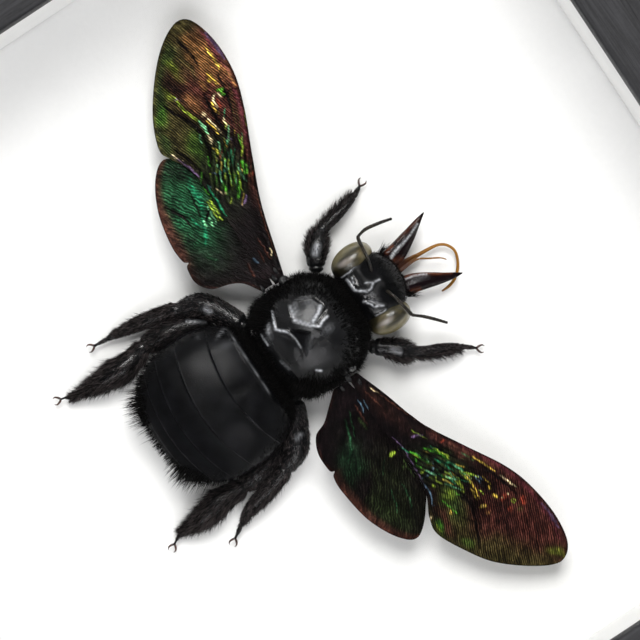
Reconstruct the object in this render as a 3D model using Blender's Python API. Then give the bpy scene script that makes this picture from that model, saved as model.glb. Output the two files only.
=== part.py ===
"""A large black carpenter bee, spread and mounted in a square box frame with a glass front.

The frame lies on its back. +X is its right side, +Y its top edge and +Z its glass front, and the
origin is at the middle of the back. The bee's head points along +Y.
"""

import math

import bmesh
import bpy
from mathutils import Matrix, Vector

MM = 0.001
GAP = 0.3 * MM  # clearance between pieces that touch

# The frame and what it clamps
FRAME_SIDE = 125 * MM
FRAME_DEPTH = 30 * MM
OPENING = 90 * MM
REBATE = 4 * MM  # how far the lip covers the edge of the glass
LIP_DEPTH = 3 * MM
GLASS_DEPTH = 2 * MM
LINER_WIDTH = 3.2 * MM
BOARD_TOP = 8 * MM
BOARD_DEPTH = 3 * MM
BACK_DEPTH = 3 * MM
TAB_DEPTH = 0.4 * MM
TAB_WIDTH = 8 * MM
TAB_LENGTH = 9 * MM
TAB_IN_RAIL = 3 * MM
SIDES = {"right": 0, "top": 90, "left": 180, "bottom": 270}

GLASS_TOP = FRAME_DEPTH - LIP_DEPTH - GAP
POCKET = OPENING / 2 + REBATE  # from the centre to the rebate's wall
PACK_EDGE = POCKET - GAP  # from the centre to the edge of the glass, board and back
BACK_TOP = BOARD_TOP - BOARD_DEPTH - GAP
TAB_TOP = BACK_TOP - BACK_DEPTH - GAP

# The bee, in millimetres from the middle of the board's top
BODY_FLOOR = 0.3
NECK = 7.65  # Y of the head's joint with the thorax
WAIST = -3.35  # Y of the thorax's joint with the abdomen
THORAX = ((0.0, 2.2, 5.3), (6.7, 7.2, 5.2))  # centre and radii
ABDOMEN = ((0.7, -9.6, 4.5), (8.4, 8.9, 4.4))
HEAD = ((-0.45, 10.7, 4.6), (4.7, 3.5, 3.9))
EYES = (((-4.3, 10.4, 4.8), (1.7, 2.5, 3.0)), ((3.4, 10.4, 4.8), (1.7, 2.5, 3.0)))

WING_DEPTH = 0.25
WING_ROOT = 7.0  # X at which a wing leaves the thorax
WING_HEIGHT = 6.6  # of the forewing's middle there
HINDWING_DROP = 0.6  # below the forewing that overlaps it
WING_SLOPE = 0.117  # how fast a wing comes down towards its tip

FOREWING_LEFT = (
    (-7.0, 3.2), (-9.8, 4.0), (-15.0, 5.5), (-20.0, 7.6), (-25.0, 9.8), (-29.0, 11.0), (-33.0, 11.1),
    (-36.2, 10.2), (-37.0, 8.6), (-35.9, 6.2), (-33.4, 3.5), (-29.6, 0.7), (-26.2, -0.7), (-24.6, -0.2),
    (-22.0, 1.0), (-16.0, 1.5), (-10.0, 1.6), (-7.0, 2.2),
)
FOREWING_RIGHT = (
    (7.0, 4.1), (10.0, 5.3), (15.0, 6.9), (19.5, 9.4), (24.0, 12.0), (27.5, 13.2), (31.8, 13.7),
    (35.2, 13.1), (36.4, 11.3), (35.2, 8.6), (32.3, 5.1), (29.0, 2.9), (26.2, 1.6), (24.2, 1.9),
    (21.0, 3.2), (15.0, 3.1), (10.0, 2.9), (7.0, 3.0),
)
HINDWING_LEFT = (
    (-7.2, 1.2), (-12.0, 1.4), (-20.0, 1.4), (-23.6, 0.4), (-25.0, -0.9), (-23.6, -2.9), (-20.4, -4.6),
    (-16.6, -5.4), (-14.4, -5.3), (-13.9, -4.9), (-13.5, -5.3), (-11.6, -5.4), (-10.1, -4.3),
    (-9.4, -2.3), (-8.6, -1.0), (-7.3, -0.1),
)
HINDWING_RIGHT = (
    (7.0, 2.2), (12.0, 2.8), (20.0, 3.0), (23.4, 1.7), (25.4, -0.3), (24.2, -2.2), (20.8, -3.9),
    (16.6, -4.6), (14.7, -4.5), (14.2, -4.1), (13.8, -4.5), (11.6, -4.5), (9.8, -3.6),
    (9.1, -2.1), (8.1, -0.9), (7.2, 0.4),
)

# Each route is (x, y, height above the board, radius) from the joint on the body to the tip
ROUTES = {
    "mandible_left": ((-2.4, 14.1, 3.0, 1.05), (-2.9, 16.0, 2.7, 0.9), (-3.6, 18.2, 2.4, 0.55),
                      (-4.35, 20.2, 2.2, 0.1)),
    "mandible_right": ((1.45, 14.1, 3.0, 1.05), (2.1, 16.0, 2.7, 0.9), (2.95, 18.2, 2.4, 0.55),
                       (3.75, 20.1, 2.2, 0.1)),
    "tongue": ((-0.75, 14.4, 2.0, 0.4), (-0.7, 16.2, 1.5, 0.36), (-0.6, 18.2, 1.0, 0.26),
               (-0.3, 19.7, 0.9, 0.2), (1.1, 20.75, 0.9, 0.18), (2.9, 20.0, 0.9, 0.18),
               (4.0, 18.7, 0.9, 0.17), (4.25, 17.0, 0.9, 0.12)),
    "labial_palp": ((0.05, 16.5, 2.2, 0.12), (0.7, 18.3, 2.0, 0.12), (1.45, 19.3, 1.9, 0.1)),
    "antenna_left": ((-1.9, 11.5, 8.9, 0.2), (-4.2, 12.1, 7.8, 0.22), (-5.7, 12.25, 6.6, 0.22),
                     (-6.25, 13.3, 5.8, 0.2), (-6.1, 14.8, 4.9, 0.2), (-5.65, 16.6, 4.0, 0.17)),
    "antenna_right": ((0.4, 11.6, 8.9, 0.2), (2.4, 12.2, 8.2, 0.22), (4.4, 12.5, 6.9, 0.22),
                      (5.3, 13.4, 6.1, 0.2), (6.2, 14.35, 5.2, 0.2), (7.4, 15.4, 4.2, 0.17)),
    "foreleg_left": ((-5.6, 6.9, 2.6, 0.75), (-7.4, 8.2, 2.4, 0.95), (-9.0, 9.7, 2.2, 0.75),
                     (-9.8, 12.5, 1.9, 0.62), (-10.4, 14.7, 1.2, 0.36), (-10.8, 16.2, 0.8, 0.18)),
    "foreleg_right": ((5.4, 7.2, 2.6, 0.75), (6.7, 9.0, 2.4, 0.95), (8.0, 10.6, 2.2, 0.75),
                      (9.2, 13.5, 1.9, 0.62), (10.6, 15.4, 1.2, 0.36), (11.8, 16.9, 0.8, 0.18)),
    "midleg_left": ((-6.9, -3.9, 2.2, 0.7), (-8.7, -5.3, 2.9, 0.95), (-10.1, -7.2, 3.1, 0.95),
                    (-11.0, -9.8, 2.3, 0.8), (-11.7, -13.5, 1.8, 0.8), (-12.05, -16.4, 1.2, 0.4),
                    (-12.1, -19.3, 0.8, 0.2)),
    "midleg_right": ((6.9, -3.6, 2.2, 0.7), (9.3, -4.9, 2.9, 0.95), (11.3, -6.7, 3.0, 0.95),
                     (12.4, -9.4, 2.3, 0.8), (13.1, -12.9, 1.8, 0.8), (13.5, -15.6, 1.2, 0.4),
                     (14.5, -17.8, 0.8, 0.2)),
    "hindleg_left": ((-7.1, -6.6, 1.2, 0.65), (-8.3, -9.0, 1.6, 1.0), (-9.0, -12.6, 1.7, 1.15),
                     (-8.9, -15.4, 1.6, 0.9), (-8.5, -19.2, 1.7, 1.25), (-8.25, -23.4, 1.1, 0.45),
                     (-9.1, -25.5, 0.8, 0.2)),
    "hindleg_right": ((7.9, -6.6, 1.2, 0.65), (9.3, -9.0, 1.6, 1.0), (10.3, -12.4, 1.7, 1.1),
                      (10.5, -15.2, 1.6, 0.9), (10.9, -18.8, 1.7, 1.2), (10.6, -21.9, 1.1, 0.4),
                      (11.6, -24.1, 0.8, 0.2)),
}


def material(name, colour, roughness, metallic=0.0, transmission=0.0):
    made = bpy.data.materials.new(name)
    made.use_nodes = True
    shader = made.node_tree.nodes["Principled BSDF"]
    shader.inputs["Base Color"].default_value = (*colour, 1.0)
    shader.inputs["Roughness"].default_value = roughness
    shader.inputs["Metallic"].default_value = metallic
    shader.inputs["Transmission Weight"].default_value = transmission
    return made


def add_object(name, data, finish, collection, parent=None):
    made = bpy.data.objects.new(name, data)
    if finish:
        data.materials.append(finish)
    collection.objects.link(made)
    made.parent = parent
    return made


def mesh_from(bm, name):
    """The bmesh as a new mesh, with its normals facing out."""
    bmesh.ops.recalc_face_normals(bm, faces=bm.faces)
    mesh = bpy.data.meshes.new(name)
    bm.to_mesh(mesh)
    bm.free()
    return mesh


def mesh_from_curve(curve):
    """The curve's filled shape as a mesh, with its loose caps welded on."""
    holder = bpy.data.objects.new(curve.name, curve)
    bpy.context.scene.collection.objects.link(holder)
    evaluated = holder.evaluated_get(bpy.context.evaluated_depsgraph_get())
    shape = bpy.data.meshes.new_from_object(evaluated)
    bpy.data.objects.remove(holder)
    bm = bmesh.new()
    bm.from_mesh(shape)
    bmesh.ops.remove_doubles(bm, verts=bm.verts, dist=0.002 * MM)
    return mesh_from(bm, curve.name)


def flat_curve(name, thickness):
    curve = bpy.data.curves.new(name, "CURVE")
    curve.dimensions = "2D"
    curve.fill_mode = "BOTH"
    curve.extrude = thickness / 2
    return curve


def box_mesh(name, half_x, half_y, low, high):
    """A box centred on Z, between two heights."""
    bm = bmesh.new()
    bmesh.ops.create_cube(bm, size=2)
    place = Matrix.Translation((0, 0, (low + high) / 2))
    bm.transform(place @ Matrix.Diagonal((half_x, half_y, (high - low) / 2, 1)))
    return mesh_from(bm, name)


def mitred_strip(name, profile):
    """A strip along Y with this (x, z) profile, its ends on the diagonals of the square frame."""
    curve = flat_curve(name, FRAME_SIDE)
    spline = curve.splines.new("POLY")
    spline.points.add(len(profile) - 1)
    for point, (x, z) in zip(spline.points, profile):
        point.co = (x, z, 0, 1)
    spline.use_cyclic_u = True
    mesh = mesh_from_curve(curve)
    mesh.transform(Matrix.Rotation(math.radians(90), 4, "X"))
    for vertex in mesh.vertices:
        vertex.co.y = math.copysign(vertex.co.x - GAP / 2, vertex.co.y)
    return mesh


def rail_mesh():
    outer = FRAME_SIDE / 2
    lip = OPENING / 2
    lip_back = FRAME_DEPTH - LIP_DEPTH
    profile = ((lip, FRAME_DEPTH), (outer, FRAME_DEPTH), (outer, 0), (POCKET, 0),
               (POCKET, lip_back), (lip, lip_back))
    return mitred_strip("frame_rail", profile)


def liner_mesh():
    inner = PACK_EDGE - LINER_WIDTH
    low = BOARD_TOP + GAP
    high = GLASS_TOP - GLASS_DEPTH - GAP
    return mitred_strip("liner", ((inner, high), (PACK_EDGE, high), (PACK_EDGE, low), (inner, low)))


def tab_mesh():
    """A steel point with a round nose, from inside the rail to over the back panel."""
    curve = flat_curve("retaining_tab", TAB_DEPTH)
    spline = curve.splines.new("POLY")
    half = TAB_WIDTH / 2
    root = POCKET + TAB_IN_RAIL
    nose = root - TAB_LENGTH + half
    corners = [(root, -half), (root, half)]
    for step in range(9):
        angle = math.radians(90 + step * 180 / 8)
        corners.append((nose + half * math.cos(angle), half * math.sin(angle)))
    spline.points.add(len(corners) - 1)
    for point, (x, y) in zip(spline.points, corners):
        point.co = (x, y, TAB_TOP - TAB_DEPTH / 2, 1)
    spline.use_cyclic_u = True
    mesh = mesh_from_curve(curve)
    middle = sum((vertex.co.z for vertex in mesh.vertices)) / len(mesh.vertices)
    mesh.transform(Matrix.Translation((0, 0, TAB_TOP - TAB_DEPTH / 2 - middle)))
    return mesh


def slot_mesh():
    """The slot that a tab sits in, with clearance all round."""
    half_length = TAB_IN_RAIL + GAP
    mesh = box_mesh("tab_slot", half_length, TAB_WIDTH / 2 + GAP, TAB_TOP - TAB_DEPTH - GAP, TAB_TOP + GAP)
    mesh.transform(Matrix.Translation((POCKET, 0, 0)))
    return mesh


def ellipsoid(centre, radii, segments=24, rings=14):
    bm = bmesh.new()
    bmesh.ops.create_uvsphere(bm, u_segments=segments, v_segments=rings, radius=1)
    place = Matrix.Translation(Vector(centre) * MM)
    bm.transform(place @ Matrix.Diagonal((*(Vector(radii) * MM), 1)))
    return bm


def trim(bm, point, outward):
    """Cuts off what lies beyond a plane, and closes the cut."""
    geometry = bm.verts[:] + bm.edges[:] + bm.faces[:]
    bmesh.ops.bisect_plane(
        bm, geom=geometry, dist=0.001 * MM, plane_co=Vector(point) * MM, plane_no=outward,
        clear_outer=True,
    )
    bmesh.ops.holes_fill(bm, edges=[edge for edge in bm.edges if edge.is_boundary])


def body_mesh(name, shape, front, back):
    """An ellipsoid cut flat where it meets its neighbours and just above the board."""
    bm = ellipsoid(*shape)
    trim(bm, (0, 0, BODY_FLOOR), (0, 0, -1))
    if front is not None:
        trim(bm, (0, front, 0), (0, 1, 0))
    if back is not None:
        trim(bm, (0, back, 0), (0, -1, 0))
    return mesh_from(bm, name)


def tube_mesh(name, route):
    """A round limb whose thickness follows the route's radii."""
    curve = bpy.data.curves.new(name, "CURVE")
    curve.dimensions = "3D"
    curve.bevel_depth = MM
    curve.bevel_resolution = 2
    curve.resolution_u = 4
    curve.use_fill_caps = True
    spline = curve.splines.new("BEZIER")
    spline.bezier_points.add(len(route) - 1)
    for point, (x, y, height, radius) in zip(spline.bezier_points, route):
        point.co = Vector((x, y, height)) * MM
        point.radius = radius
        point.handle_left_type = "AUTO"
        point.handle_right_type = "AUTO"
    return mesh_from_curve(curve)


def wing_mesh(name, outline, height):
    """A thin plate of this outline as seen from above, sloping down from its root to its tip."""
    curve = flat_curve(name, WING_DEPTH * MM)
    curve.resolution_u = 3
    spline = curve.splines.new("BEZIER")
    spline.bezier_points.add(len(outline) - 1)
    for point, (x, y) in zip(spline.bezier_points, outline):
        point.co = Vector((x, y, 0)) * MM
        point.handle_left_type = "AUTO"
        point.handle_right_type = "AUTO"
    spline.use_cyclic_u = True
    mesh = mesh_from_curve(curve)
    for vertex in mesh.vertices:
        vertex.co.z += height * MM - WING_SLOPE * (abs(vertex.co.x) - WING_ROOT * MM)
    return mesh


def shade_round(made):
    made.data.shade_smooth()
    made.data.set_sharp_from_angle(angle=math.radians(35))


def build_frame(parts, cutters):
    wood = material("charcoal_wood", (0.045, 0.045, 0.048), 0.6)
    paper = material("white_liner_card", (0.86, 0.86, 0.85), 0.7)
    steel = material("retaining_tab_steel", (0.55, 0.55, 0.56), 0.35, metallic=1.0)
    rail, liner, tab, slot = rail_mesh(), liner_mesh(), tab_mesh(), slot_mesh()
    for shared, finish in ((rail, wood), (liner, paper), (tab, steel)):
        shared.materials.append(finish)
    for side, angle in SIDES.items():
        turn = math.radians(angle)
        cutter = add_object(f"slot_cutter_{side}", slot, None, cutters)
        cutter.hide_render = True
        cutter.display_type = "WIRE"
        for name, shared in (("frame_rail", rail), ("liner", liner), ("retaining_tab", tab)):
            made = add_object(f"{name}_{side}", shared, None, parts)
            made.rotation_euler.z = turn
            if shared is rail:
                cut = made.modifiers.new("tab_slot", "BOOLEAN")
                cut.object = cutter
        cutter.rotation_euler.z = turn


def build_pack(parts):
    """The flat sheets held in the frame: the glass, the white board and the back panel."""
    sheets = (
        ("glass_pane", GLASS_TOP, GLASS_DEPTH, material("clear_glass", (1, 1, 1), 0.02, transmission=1.0)),
        ("mount_board", BOARD_TOP, BOARD_DEPTH, material("white_mount_board", (0.88, 0.88, 0.87), 0.75)),
        ("back_panel", BACK_TOP, BACK_DEPTH, material("brown_hardboard", (0.24, 0.15, 0.085), 0.8)),
    )
    for name, top, depth, finish in sheets:
        mesh = box_mesh(name, PACK_EDGE, PACK_EDGE, top - depth, top)
        add_object(name, mesh, finish, parts)


def build_body(parts, cutters, bee):
    cuticle = (0.012, 0.012, 0.014)
    thorax = body_mesh("thorax", THORAX, NECK - GAP / MM / 2, WAIST + GAP / MM / 2)
    abdomen = body_mesh("abdomen", ABDOMEN, WAIST - GAP / MM / 2, None)
    head = body_mesh("head", HEAD, None, NECK + GAP / MM / 2)
    shade_round(add_object("thorax", thorax, material("thorax_cuticle", cuticle, 0.35), parts, bee))
    shade_round(add_object("abdomen", abdomen, material("abdomen_cuticle", cuticle, 0.3), parts, bee))
    made = add_object("head", head, material("head_cuticle", cuticle, 0.25), parts, bee)
    for index, shape in enumerate(EYES):
        eye = add_object(f"eye_bulge_{index}", body_mesh("eye_bulge", shape, None, NECK + GAP / MM), None,
                         cutters, bee)
        eye.hide_render = True
        eye.display_type = "WIRE"
        join = made.modifiers.new("eye", "BOOLEAN")
        join.operation = "UNION"
        join.object = eye
    shade_round(made)


def build_limbs(parts, bee):
    colours = {
        "mandible": (0.03, 0.012, 0.01),
        "tongue": (0.42, 0.16, 0.03),
        "labial": (0.3, 0.12, 0.03),
        "antenna": (0.03, 0.022, 0.016),
    }
    leg = (0.014, 0.013, 0.013)
    for name, route in ROUTES.items():
        colour = colours.get(name.split("_")[0], leg)
        finish = material(f"{name}_cuticle", colour, 0.4)
        shade_round(add_object(name, tube_mesh(name, route), finish, parts, bee))


def build_wings(parts, bee):
    wings = (
        ("forewing_left", FOREWING_LEFT, 0.0, (0.10, 0.14, 0.03)),
        ("forewing_right", FOREWING_RIGHT, 0.0, (0.08, 0.05, 0.03)),
        ("hindwing_left", HINDWING_LEFT, HINDWING_DROP, (0.02, 0.09, 0.05)),
        ("hindwing_right", HINDWING_RIGHT, HINDWING_DROP, (0.02, 0.05, 0.03)),
    )
    for name, outline, drop, colour in wings:
        mesh = wing_mesh(name, outline, WING_HEIGHT - drop)
        add_object(name, mesh, material(f"{name}_film", colour, 0.3, metallic=0.6), parts, bee)


def new_collection(name):
    made = bpy.data.collections.new(name)
    bpy.context.scene.collection.children.link(made)
    return made


def main():
    for old in list(bpy.data.objects):
        bpy.data.objects.remove(old, do_unlink=True)
    parts = new_collection("framed_carpenter_bee")
    cutters = new_collection("cutters")
    bee = bpy.data.objects.new("bee_on_board", None)
    bee.location.z = BOARD_TOP
    parts.objects.link(bee)
    build_frame(parts, cutters)
    build_pack(parts)
    build_body(parts, cutters, bee)
    build_limbs(parts, bee)
    build_wings(parts, bee)


main()
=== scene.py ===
"""Dresses the framed carpenter bee: frame, glass, body, wings, legs, hair and stage."""

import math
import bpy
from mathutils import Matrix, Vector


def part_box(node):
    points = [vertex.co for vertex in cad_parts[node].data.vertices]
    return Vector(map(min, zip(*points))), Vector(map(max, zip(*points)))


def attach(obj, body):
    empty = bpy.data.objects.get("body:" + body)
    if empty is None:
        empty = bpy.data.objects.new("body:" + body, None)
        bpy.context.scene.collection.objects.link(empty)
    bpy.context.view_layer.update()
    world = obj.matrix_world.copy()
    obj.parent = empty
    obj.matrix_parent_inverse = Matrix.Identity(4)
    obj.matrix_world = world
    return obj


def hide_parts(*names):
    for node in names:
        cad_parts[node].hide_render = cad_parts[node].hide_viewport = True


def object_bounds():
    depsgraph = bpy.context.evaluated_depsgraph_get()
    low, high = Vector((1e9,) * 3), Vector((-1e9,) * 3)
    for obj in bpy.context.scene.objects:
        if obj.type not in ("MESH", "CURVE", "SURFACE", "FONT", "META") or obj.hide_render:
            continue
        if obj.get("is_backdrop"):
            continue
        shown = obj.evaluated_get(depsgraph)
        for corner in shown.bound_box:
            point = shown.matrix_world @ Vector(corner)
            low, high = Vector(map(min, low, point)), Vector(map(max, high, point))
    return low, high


bl_info = {
    "name": "Framed Carpenter Bee",
    "version": (1, 0, 0),
    "blender": (4, 5, 0),
    "location": "View3D > Sidebar > Framed Bee",
    "description": "Builds the visible pieces of a carpenter bee in a square box frame",
    "category": "Add Mesh",
}

from contextlib import contextmanager

import bpy
import numpy as np
from bpy.props import FloatProperty, FloatVectorProperty, IntProperty, PointerProperty
from mathutils import Matrix, Vector

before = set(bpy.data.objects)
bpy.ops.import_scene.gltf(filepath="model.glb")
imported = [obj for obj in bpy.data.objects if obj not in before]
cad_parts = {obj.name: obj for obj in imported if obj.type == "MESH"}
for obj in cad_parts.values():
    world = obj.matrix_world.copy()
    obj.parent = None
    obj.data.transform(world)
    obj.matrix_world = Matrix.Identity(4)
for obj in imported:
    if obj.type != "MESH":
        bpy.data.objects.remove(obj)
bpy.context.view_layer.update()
MM = 0.001
BOARD_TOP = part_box("mount_board")[1][2]
SIDES = ("left", "right")
LOWEST_SHELL = 0.35  # mm between the board and the underside of the body
LOWEST_HAIR = 0.05


# ---------------------------------------------------------------- settings


def colour_setting(name, description, default):
    return FloatVectorProperty(
        name=name, description=description, default=default, subtype="COLOR", min=0.0, max=1.0
    )


def length_setting(name, description, millimetres):
    return FloatProperty(
        name=name, description=description, default=millimetres * MM, unit="LENGTH", precision=5
    )


class CaseSettings(bpy.types.PropertyGroup):
    edge_radius: length_setting("Edge radius", "Rounding of the rails' long edges", 0.45)
    stain_dark: colour_setting("Dark grain", "Charcoal stain in the pores", (0.009, 0.009, 0.01))
    stain_light: colour_setting("Light grain", "Charcoal stain between them", (0.03, 0.03, 0.033))
    card: colour_setting("Card", "White of the board and the liners", (0.86, 0.86, 0.85))


class BodySettings(bpy.types.PropertyGroup):
    cuticle: colour_setting("Cuticle", "Colour of the hard body", (0.0026, 0.0027, 0.0032))
    eye: colour_setting("Eye", "Olive of the eyes", (0.115, 0.096, 0.036))
    tongue: colour_setting("Tongue", "Amber of the tongue", (0.23, 0.095, 0.003))
    detail: IntProperty(
        name="Detail", description="Subdivisions of the body's masses", default=7, min=4, max=7
    )


class WingSettings(bpy.types.PropertyGroup):
    thickness: length_setting("Film thickness", "Thickness of a wing's membrane", 0.07)
    line_pitch: length_setting("Line pitch", "Spacing of the fine corrugation", 0.24)
    dark: colour_setting("Dark", "Smoky black-brown of the root and folds", (0.0022, 0.0012, 0.0014))
    brown: colour_setting("Brown", "Brown veins at the root", (0.034, 0.012, 0.008))
    maroon: colour_setting("Maroon", "Dark red field", (0.041, 0.012, 0.009))
    copper: colour_setting("Copper", "Copper field", (0.145, 0.066, 0.022))
    rust: colour_setting("Rust", "Rust-red spots", (0.2, 0.03, 0.015))
    magenta: colour_setting("Magenta", "Leading edge", (0.048, 0.01, 0.0125))
    lilac: colour_setting("Lilac", "Lilac glints", (0.09, 0.055, 0.115))
    gold: colour_setting("Gold", "Gold streaks", (0.42, 0.29, 0.04))
    cream: colour_setting("Cream", "Palest glints", (0.62, 0.5, 0.28))
    olive: colour_setting("Olive", "Outer margin", (0.029, 0.0235, 0.0078))
    green: colour_setting("Green", "Green field", (0.017, 0.029, 0.008))
    bright: colour_setting("Bright green", "Bright green streaks", (0.055, 0.27, 0.018))
    lime: colour_setting("Lime", "Yellow-green streaks", (0.2, 0.29, 0.025))
    mint: colour_setting("Mint", "Pale green rims", (0.16, 0.46, 0.22))
    teal: colour_setting("Teal", "Teal streaks", (0.01, 0.14, 0.062))
    sea: colour_setting("Sea green", "Hindwing field", (0.008, 0.034, 0.0135))
    sky: colour_setting("Sky", "Blue-white glints", (0.07, 0.12, 0.17))


class HairSettings(bpy.types.PropertyGroup):
    thickness: length_setting("Hair thickness", "Thickness of one hair at its root", 0.055)
    density: FloatProperty(
        name="Density", description="Share of the full number of hairs", default=1.0, min=0.05, max=2.0
    )
    colour: colour_setting("Hair colour", "Black-brown of the hair", (0.0024, 0.0021, 0.002))


class StageSettings(bpy.types.PropertyGroup):
    camera_height: length_setting("Camera height", "Camera above the white board", 330)
    lens: FloatProperty(name="Lens", description="Focal length in mm", default=163.2)
    key_power: FloatProperty(name="Key", description="Power of the window light in W", default=11.0)
    fill_power: FloatProperty(name="Fill", description="Power of the soft fill in W", default=6.5)


SETTINGS = {
    "bee_case": CaseSettings,
    "bee_body": BodySettings,
    "bee_wings": WingSettings,
    "bee_hair": HairSettings,
    "bee_stage": StageSettings,
}


def setting(group):
    return getattr(bpy.context.scene, group)


# ---------------------------------------------------------------- modelling helpers


def read_points(made):
    points = np.empty(len(made.data.vertices) * 3)
    made.data.vertices.foreach_get("co", points)
    return points.reshape(-1, 3)


def write_points(made, points):
    made.data.vertices.foreach_set("co", np.ascontiguousarray(points, dtype=np.float32).ravel())
    made.data.update()


def on_board(points):
    """Millimetres from the middle of the board's top, as metres in the object's frame."""
    placed = np.asarray(points, dtype=float) * MM
    placed[..., 2] += BOARD_TOP
    return placed


def deselect_all():
    bpy.ops.object.select_all(action="DESELECT")


def select_only(made):
    deselect_all()
    made.select_set(True)
    bpy.context.view_layer.objects.active = made


@contextmanager
def editing(made):
    """Edit mode with the whole mesh selected."""
    select_only(made)
    bpy.ops.object.mode_set(mode="EDIT")
    bpy.ops.mesh.select_all(action="SELECT")
    yield
    bpy.ops.object.mode_set(mode="OBJECT")


def named(made, name):
    made.name = name
    made.data.name = name
    return made


def new_ball(name, detail):
    deselect_all()
    bpy.ops.mesh.primitive_ico_sphere_add(subdivisions=detail, radius=1.0)
    return named(bpy.context.object, name)


def new_spindle(name, sides, rings):
    """A sphere with its poles on Z, to be drawn out into a limb."""
    deselect_all()
    bpy.ops.mesh.primitive_uv_sphere_add(segments=sides, ring_count=rings, radius=1.0)
    return named(bpy.context.object, name)


def copy_of_node(node, name):
    """A welded copy of a CAD node, to be shaped further."""
    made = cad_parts[node].copy()
    made.data = made.data.copy()
    bpy.context.scene.collection.objects.link(made)
    made.parent = None
    made.matrix_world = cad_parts[node].matrix_world.copy()
    made.data.materials.clear()
    named(made, name)
    select_only(made)
    bpy.ops.object.transform_apply(location=True, rotation=True, scale=True)
    with editing(made):
        bpy.ops.mesh.remove_doubles(threshold=0.001 * MM)
        bpy.ops.mesh.dissolve_limited(angle_limit=math.radians(0.5))
    return made


def mark(made, name, values):
    """Stores one value per vertex, for a material to read."""
    layer = made.data.attributes.new(name, "FLOAT", "POINT")
    layer.data.foreach_set("value", np.ascontiguousarray(values, dtype=np.float32))


def steepness(made):
    """0 where a surface faces up or down, 1 where it is upright."""
    normals = np.empty(len(made.data.vertices) * 3, dtype=np.float32)
    made.data.vertices.foreach_get("normal", normals)
    return 1 - np.abs(normals.reshape(-1, 3)[:, 2])


def apply_modifier(made, kind, **values):
    modifier = made.modifiers.new(kind.lower(), kind)
    for key, value in values.items():
        setattr(modifier, key, value)
    select_only(made)
    bpy.ops.object.modifier_apply(modifier=modifier.name)


def face_outwards(made):
    with editing(made):
        bpy.ops.mesh.normals_make_consistent(inside=False)


def joined(name, pieces):
    select_only(pieces[0])
    for piece in pieces[1:]:
        piece.select_set(True)
    bpy.ops.object.join()
    return named(bpy.context.object, name)


def finish(made, material, replaced=(), sharp=None):
    """Gives a piece its material, shading and place in the frame."""
    made.data.materials.clear()
    made.data.materials.append(material)
    select_only(made)
    if sharp is None:
        bpy.ops.object.shade_smooth()
    else:
        bpy.ops.object.shade_smooth_by_angle(angle=math.radians(sharp))
    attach(made, "root")
    if replaced:
        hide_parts(*replaced)
    return made


# ---------------------------------------------------------------- shape functions


def blob(x, y, centre, radii, turn=0.0):
    """A smooth hump of height 1, with its axes turned by this many degrees."""
    c, s = math.cos(math.radians(turn)), math.sin(math.radians(turn))
    u = ((x - centre[0]) * c + (y - centre[1]) * s) / radii[0]
    v = ((y - centre[1]) * c - (x - centre[0]) * s) / radii[1]
    return np.exp(-(u * u + v * v))


def smooth(low, high, value):
    t = np.clip((value - low) / (high - low), 0, 1)
    return t * t * (3 - 2 * t)


def distance_to(x, y, line):
    """Distance from each point to a line of straight runs."""
    best = np.hypot(x - line[0][0], y - line[0][1])
    for (ax, ay), (bx, by) in zip(line[:-1], line[1:]):
        dx, dy = bx - ax, by - ay
        t = np.clip(((x - ax) * dx + (y - ay) * dy) / (dx * dx + dy * dy), 0, 1)
        best = np.minimum(best, np.hypot(x - ax - t * dx, y - ay - t * dy))
    return best


def ridge(x, y, line, width):
    return np.exp(-((distance_to(x, y, line) / width) ** 2))


def ridges(x, y, table):
    """All the ridges of a table of strength, half width and line, added up."""
    return sum(strength * ridge(x, y, line, width) for strength, width, line in table)


def ripple(x, y, pitch, seed, stretch=1.0):
    """Smooth irregular waves between -1 and 1, about a pitch apart."""
    waves = 9
    random = np.random.default_rng(seed)
    total = np.zeros(np.shape(x))
    for _ in range(waves):
        angle = random.uniform(0, math.tau)
        k = math.tau / (pitch * random.uniform(0.7, 1.4))
        phase = random.uniform(0, math.tau)
        total += np.sin(k * (x * math.cos(angle) / stretch + y * math.sin(angle)) + phase)
    return total / (waves ** 0.5 * 1.5)


def through(points, share):
    """Where a smooth curve through the points is, at each share of its length."""
    points = np.asarray(points, dtype=float)
    padded = np.vstack([2 * points[0] - points[1], points, 2 * points[-1] - points[-2]])
    run = np.linalg.norm(np.diff(points[:, :3], axis=0), axis=1)
    ends = np.concatenate([[0], np.cumsum(run)]) / run.sum()
    share = np.clip(share, 0, 1)
    index = np.clip(np.searchsorted(ends, share, side="right") - 1, 0, len(run) - 1)
    t = ((share - ends[index]) / (ends[index + 1] - ends[index]))[..., None]
    before, start, stop, after = (padded[index + k] for k in range(4))
    return 0.5 * (
        2 * start
        + (stop - before) * t
        + (2 * before - 5 * start + 4 * stop - after) * t * t
        + (3 * start - before - 3 * stop + after) * t ** 3
    )


def unit(vectors):
    return vectors / np.maximum(np.linalg.norm(vectors, axis=-1, keepdims=True), 1e-12)


def vectors_of(x, y, height):
    """One row a point, from arrays or single numbers."""
    return np.stack(np.broadcast_arrays(x, y, height), axis=1)


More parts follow.
